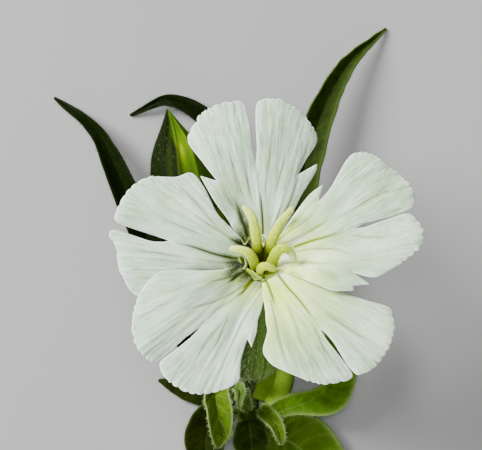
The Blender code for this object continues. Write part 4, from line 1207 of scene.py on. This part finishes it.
def add_calyx(material):
    """A ribbed tube, widest low down, whose mouth ends in five short teeth that flare outward."""
    around, ribs, teeth, tooth_rows, hairs = 200, 20, 5, 11, 2600
    line = spaced(smooth_line(CALYX_PROFILE, 12), 0.16)
    reach = np.concatenate([np.zeros(len(line)), np.linspace(0.1, 1.0, tooth_rows)])[:, None]
    line = np.vstack([line, np.repeat(line[-1:], tooth_rows, axis=0)])
    rows, angle = len(line), circle(around)
    tooth = 1.0 - abs(angle / (2 * math.pi) * teeth % 1.0 - 0.5) * 2
    grow = reach * (TOOTH_NOTCH + (1.0 - TOOTH_NOTCH) * tooth ** 0.9)
    main_rib = np.clip(np.cos(angle * ribs / 2), 0, 1) ** 12
    rib = np.clip(np.cos(angle * ribs), 0, 1) ** 6 * (0.65 + 0.35 * main_rib)
    panel = 0.036 * (1 - rib) * spread(line[:, :1], -18.5, -16.5)
    radius = line[:, 1:] + 0.07 * rib - panel + grow ** 2 * TOOTH_FLARE
    along = line[:, :1] + grow * TOOTH_LENGTH
    grid = on_axis(along, radius, angle)
    beside = (grid - on_axis(along))[..., 0]
    # Left is where the calyx gets painted shade.
    fields = {"rib": rib, "left": spread(beside, 1.575, -1.925), "along": np.linspace(0, 1, rows)[:, None],
              "flow": (angle * 3, along, 0.0)}
    faces = grid_faces(rows, around, closed=True)
    add_piece("calyx", [(grid, faces, fields)], material, THROAT, 0.16, -1.0)
    roots, out = scattered(grid, hairs, 5, closed=True)
    add_hairs("calyx", roots, out + AXIS * 0.25, sizes().calyx_hair, THROAT, 6, 0.0)


def add_stalk(node, points, radii, material, hairs, seed):
    """A round stalk with fine grooves, whose two ends are cut flat."""
    around = 40
    line = spaced(smooth_line(points, 30), 0.3)
    rows = len(line)
    radius = np.interp(np.linspace(0, 1, rows), np.linspace(0, 1, len(radii)), radii)
    grid, angle = tube(line, radius, 1.0, (1.0, 0.0, 0.0), around)
    groove = 0.025 * np.cos(angle * 9) + 0.03 * noise(angle * 2, np.arange(rows)[:, None] * 0.2, seed) - 0.03
    grid = grid + unit(grid - line[:, None]) * groove[..., None]
    fields = {"cut": 0.0, "flow": (angle, walked(line)[:, None], 0.0)}
    sheets = [(grid, grid_faces(rows, around, closed=True, turned_over=True), fields)]
    fan = [[around + i, around + (i + 1) % around, 2 * around] for i in range(around)]
    pith = {"cut": np.repeat([0.35, 1.0], [around, around + 1])}
    for end, order in ((0, 1), (-1, -1)):
        cap = np.vstack([grid[end], line[end] + (grid[end] - line[end]) * PITH_EDGE, line[end]])
        sheets.append((cap, [face[::order] for face in grid_faces(2, around, closed=True) + fan], pith))
    add_piece(node, sheets, material, BELOW)
    roots, out = scattered(grid, hairs, seed, closed=True)
    nearest = line[abs(roots[:, None] - line).sum(axis=2).argmin(axis=1)]
    out = out * np.sign((out * (roots - nearest)).sum())
    keep = (roots + out * sizes().stem_hair)[:, 2] > ABOVE_TABLE
    add_hairs(node, roots[keep], out[keep] - (0, 0.3, 0), sizes().stem_hair, BELOW, seed + 1, 0.6)


def leaf_half_widths(leaf, at):
    """Half widths on the two sides of the midrib, at each share of the leaf's length."""
    if "shape" in leaf:
        return [read_profile(smooth_line(side, 6), at) for side in leaf["shape"]]
    blade = np.sin(math.pi * at ** 0.75).clip(0) ** 0.9
    return [leaf["width"] * blade + leaf["base"] * (1.0 - at) ** 4 + LEAF_TIP_HALF_WIDTH] * 2


def add_leaf(name, leaf, material, seed):
    """A blade folded along its midrib, with side veins, a pale edge and a fringe of hairs."""
    columns, rows_in_all = 31, 84
    line = smooth_line(leaf["line"], rows_in_all // (len(leaf["line"]) - 1))
    rows, long = len(line), walked(line)[-1]
    at, t = np.linspace(0.0, 1.0, rows)[:, None], np.linspace(-1.0, 1.0, columns)
    ahead = unit(np.gradient(line, axis=0))
    side = unit(np.cross(ahead, (0.0, 0.0, 1.0)))
    up = np.cross(side, ahead)
    fold = math.radians(leaf["fold"])
    width = np.where(t < 0, *leaf_half_widths(leaf, at))
    wavy = 1.0 + 0.03 * noise(at * 14.0, np.sign(t) * 3.0, seed)
    across = (side[:, None] * (t * math.cos(fold))[:, None]
              + up[:, None] * (abs(t) ** LEAF_ROUNDNESS * math.sin(fold))[:, None])
    grid = line[:, None] + across * (width * wavy)[..., None]

    midrib = bell(t * width, 0.13) * (1 - at * 0.5)
    vein_at = at * long / LEAF_VEIN_GAP - abs(t) ** 1.3 * 1.1
    vein = bell(vein_at % 1.0 - 0.5, 0.10) * spread(abs(t), 1.0, 0.7) * spread(abs(t), 0.0, 0.12)
    relief = -0.10 * midrib - 0.035 * vein + 0.06 * noise(at * long * 0.9, t * 2.0, seed)
    relief = relief + 0.09 * noise(at * long * 0.7, np.sign(t), seed + 3) * spread(abs(t), 0.5, 1.0)
    normal = unit(np.cross(np.gradient(grid, axis=1), np.gradient(grid, axis=0)))
    normal = normal * np.sign(normal[..., 2:].mean() + 1e-9)
    grid = grid + normal * relief[..., None]
    grid[..., 2] = np.maximum(grid[..., 2], LEAF_FLOOR)

    gap = (1 - abs(t)) * width
    fields = {
        "rib": np.maximum(midrib, 0.4 * vein),
        "rim": np.exp(-gap / np.where(t < 0, *leaf.get("rims", (0.1, 0.1)))),
        "flow": (at * long, t * width, seed),
        "young": smooth_step((leaf.get("young", -1.0) - at) / 0.16),
        "body": np.clip(0.35 + gap / 0.5, 0, 1),
    }
    sheets = [(grid, grid_faces(rows, columns), fields)]
    add_piece(name, sheets, material, BELOW, sizes().leaf_thickness)

    edge_hairs, face_hairs, dim = LEAF_LOOKS[leaf["look"]][3]
    dice = np.random.default_rng(seed)
    pick = dice.integers(4, rows - 2, int(edge_hairs * long))
    which = dice.integers(0, 2, len(pick))[:, None] == 0
    edge = np.where(which, grid[pick, 0], grid[pick, -1])
    outward = unit(np.where(which, -side[pick], side[pick]) + ahead[pick] * 0.35 + normal[pick, 0] * 0.3)
    step = dice.random((len(pick), 1)) * (line[pick + 1] - line[pick])
    roots, out = scattered(grid, int(face_hairs * long), seed + 1)
    out = out * np.sign((out * normal.mean(axis=(0, 1))).sum(axis=1, keepdims=True))
    reach = sizes().leaf_hair * np.repeat([1.0, 0.5], [len(edge), len(roots)])
    roots = np.vstack([edge + step, roots + out * sizes().leaf_thickness / 2])
    directions = np.vstack([outward, out + unit(line[-1] - line[0]) * 0.8])
    keep = roots[:, 2] > LEAF_HAIR_FLOOR
    add_hairs(name, roots[keep], directions[keep], reach[keep], BELOW, seed + 2, dim)


def add_bud(material):
    """The closed calyx of the bud, with ten ribs. A painted streak of light runs down one side of it, the
    side towards the light is painted a lighter green, and the sides that face away are painted dark as shade."""
    around, ribs, hairs, hair_reach, start = 160, 10, 900, 0.4, 18.0
    line = spaced(smooth_line(BUD_PROFILE, 12), 0.15)
    at, angle = line[:, :1] / line[-1, 0], circle(around)
    axis = unit(np.subtract(BUD_TIP, BUD_BASE))
    phase = angle + math.radians(start) + 0.25 * spread(at, 0.5, 1.0)
    rib = np.clip(np.cos(phase * ribs), 0, 1)
    radius = line[:, 1:] + 0.14 * spread(at, 0.0, 0.15) * spread(at, 1.0, 0.85) * (rib ** 3 - 0.7)
    side = unit(np.cross(axis, (0.0, 0.0, 1.0)))
    grid = rings(np.array(BUD_BASE), axis, side, line[:, 0], radius, -angle)

    turn = np.degrees(np.arctan2(np.sin(phase), np.cos(phase))) - start
    shady = 84.0 + 18.0 * spread(at, 0.68, 0.84)
    streak = np.minimum(bell(at - 0.72, 0.10) + 0.05 * spread(at, 0.9, 0.6), 1.0)
    dark = spread(turn, shady, shady + 10.0) * (1 - 0.3 * bell(turn - 108.0, 6.0))
    fields = {
        "rib": rib ** 3, "ridge": rib ** 16 * bell(turn - 90.0, 12.0),
        "painted_streak": bell(turn - 67.0, 14.0) * streak,
        "green": spread(turn, shady, shady - 14.0) * spread(turn, -70.0, -40.0),
        "dark": np.maximum(dark, spread(turn, -20.0, -50.0) * 0.8),
    }
    faces = grid_faces(len(line), around, closed=True, turned_over=True)
    add_piece("bud", [(grid, faces, fields)], material, BELOW)
    roots, out = scattered(grid, hairs, 77, closed=True)
    middle = BUD_BASE + axis * ((roots - BUD_BASE) @ axis)[:, None]
    out = out * np.sign((out * (roots - middle)).sum(axis=1, keepdims=True) + 1e-9)
    keep = (roots + out * hair_reach)[:, 2] > ABOVE_TABLE
    add_hairs("bud", roots[keep], (out + axis * 0.5)[keep], sizes().calyx_hair, BELOW, 78, 0.9)


# ---------------------------------------------------------------- operators

class BuildPetals(bpy.types.Operator):
    """Build the five notched petals with their claws"""
    bl_idname = "campion.build_petals"
    bl_label = "Petals"

    def execute(self, context):
        material = petal_look()
        for seed, (name, petal) in enumerate(PETALS.items()):
            add_petal(name, petal, material, 20 * seed + 3)
        return {"FINISHED"}


class BuildStyles(bpy.types.Operator):
    """Build the five curled styles"""
    bl_idname = "campion.build_styles"
    bl_label = "Styles"

    def execute(self, context):
        material = style_look()
        for seed, (name, style) in enumerate(STYLES.items()):
            add_style(name, style, material, seed + 40)
        return {"FINISHED"}


class BuildCalyx(bpy.types.Operator):
    """Build the hairy calyx tube with its ribs and teeth"""
    bl_idname = "campion.build_calyx"
    bl_label = "Calyx"

    def execute(self, context):
        add_calyx(calyx_look())
        return {"FINISHED"}


class BuildOvary(bpy.types.Operator):
    """Build the ovary and the receptacle inside the calyx"""
    bl_idname = "campion.build_ovary"
    bl_label = "Ovary and receptacle"

    def execute(self, context):
        material = ovary_look()
        add_turned("ovary", OVARY_PROFILE, material)
        add_turned("receptacle", RECEPTACLE_PROFILE, material)
        return {"FINISHED"}


class BuildStalks(bpy.types.Operator):
    """Build the cut stem, the flower's stalk and the bud's stalk"""
    bl_idname = "campion.build_stalks"
    bl_label = "Stem and stalks"

    def execute(self, context):
        material = stem_look()
        stem = [(STEM_X, y, STEM_RADIUS) for y in (STEM_CUT_Y, (STEM_CUT_Y + STEM_TOP_Y) / 2, STEM_TOP_Y)]
        pedicel = PEDICEL + [on_axis(along) + (0.0, 0.0, THROAT_HEIGHT) for along in PEDICEL_TOP]
        add_stalk("stem", stem, (STEM_RADIUS, STEM_RADIUS), material, hairs=1200, seed=60)
        add_stalk("pedicel", pedicel, PEDICEL_RADII, material, hairs=500, seed=61)
        add_stalk("bud_stalk", BUD_STALK, BUD_STALK_RADII, material, hairs=700, seed=62)
        return {"FINISHED"}


class BuildLeaves(bpy.types.Operator):
    """Build the two narrow bracts, the leaves and the bud's bract"""
    bl_idname = "campion.build_leaves"
    bl_label = "Leaves"

    def execute(self, context):
        looks = {name: leaf_look(name) for name in LEAF_LOOKS}
        for seed, (name, leaf) in enumerate(LEAVES.items()):
            add_leaf(name, leaf, looks[leaf["look"]], 10 * seed + 101)
        return {"FINISHED"}


class BuildBud(bpy.types.Operator):
    """Build the closed bud with its ribs and its hairs"""
    bl_idname = "campion.build_bud"
    bl_label = "Bud"

    def execute(self, context):
        add_bud(bud_look())
        return {"FINISHED"}


class SetStage(bpy.types.Operator):
    """Set the pale table, the soft lights and the camera above the flower"""
    bl_idname = "campion.set_stage"
    bl_label = "Table, lights and camera"

    def execute(self, context):
        scene = context.scene
        mesh = bpy.data.meshes.new("table")
        corners = [(x * TABLE_REACH, y * TABLE_REACH, 0.0) for x, y in ((-1, -1), (1, -1), (1, 1), (-1, 1))]
        mesh.from_pydata(corners, [], [(0, 1, 2, 3)])
        mesh.materials.append(table_look())
        table = bpy.data.objects.new("table", mesh)
        scene.collection.objects.link(table)

        focus = Vector(THROAT) * MM
        for name, (offset, size, power) in LIGHTS.items():
            light = bpy.data.lights.new(name, "AREA")
            light.size, light.energy = size, power
            lamp = bpy.data.objects.new(name, light)
            lamp.location = focus + Vector(offset)
            lamp.rotation_euler = (-Vector(offset)).to_track_quat("-Z", "Y").to_euler()
            scene.collection.objects.link(lamp)

        world = bpy.data.worlds.new("studio")
        world.use_nodes = True
        sky = world.node_tree.nodes["Background"].inputs
        sky["Color"].default_value, sky["Strength"].default_value = SKY_COLOUR, SKY_STRENGTH
        scene.world = world

        lens = bpy.data.cameras.new("camera")
        lens.sensor_width, lens.lens = SENSOR_WIDTH, LENS
        lens.clip_start, lens.clip_end = CAMERA_CLIP
        camera = bpy.data.objects.new("camera", lens)
        camera.location = focus + Vector(CAMERA_FROM_THROAT) * MM
        scene.collection.objects.link(camera)
        scene.camera = camera
        return {"FINISHED"}


BUILDERS = (BuildPetals, BuildStyles, BuildCalyx, BuildOvary, BuildStalks, BuildLeaves, BuildBud, SetStage)


class VIEW3D_PT_campion(bpy.types.Panel):
    """Lists the pieces of the flower and the stage"""
    bl_label = "White Campion"
    bl_space_type = "VIEW_3D"
    bl_region_type = "UI"
    bl_category = "Campion"

    def draw(self, context):
        for builder in BUILDERS:
            self.layout.operator(builder.bl_idname)
        for group in (sizes(), colours()):
            column = self.layout.column()
            for key in group.bl_rna.properties.keys():
                if key not in ("rna_type", "name"):
                    column.prop(group, key)


CLASSES = (CampionSizes, CampionColours, *BUILDERS, VIEW3D_PT_campion)


def register():
    for cls in CLASSES:
        bpy.utils.register_class(cls)
    bpy.types.Scene.campion_sizes = bpy.props.PointerProperty(type=CampionSizes)
    bpy.types.Scene.campion_colours = bpy.props.PointerProperty(type=CampionColours)


def unregister():
    del bpy.types.Scene.campion_sizes, bpy.types.Scene.campion_colours
    for cls in reversed(CLASSES):
        bpy.utils.unregister_class(cls)


def main():
    register()
    for builder in BUILDERS:
        family, name = builder.bl_idname.split(".")
        getattr(getattr(bpy.ops, family), name)()


if __name__ == "__main__":
    main()
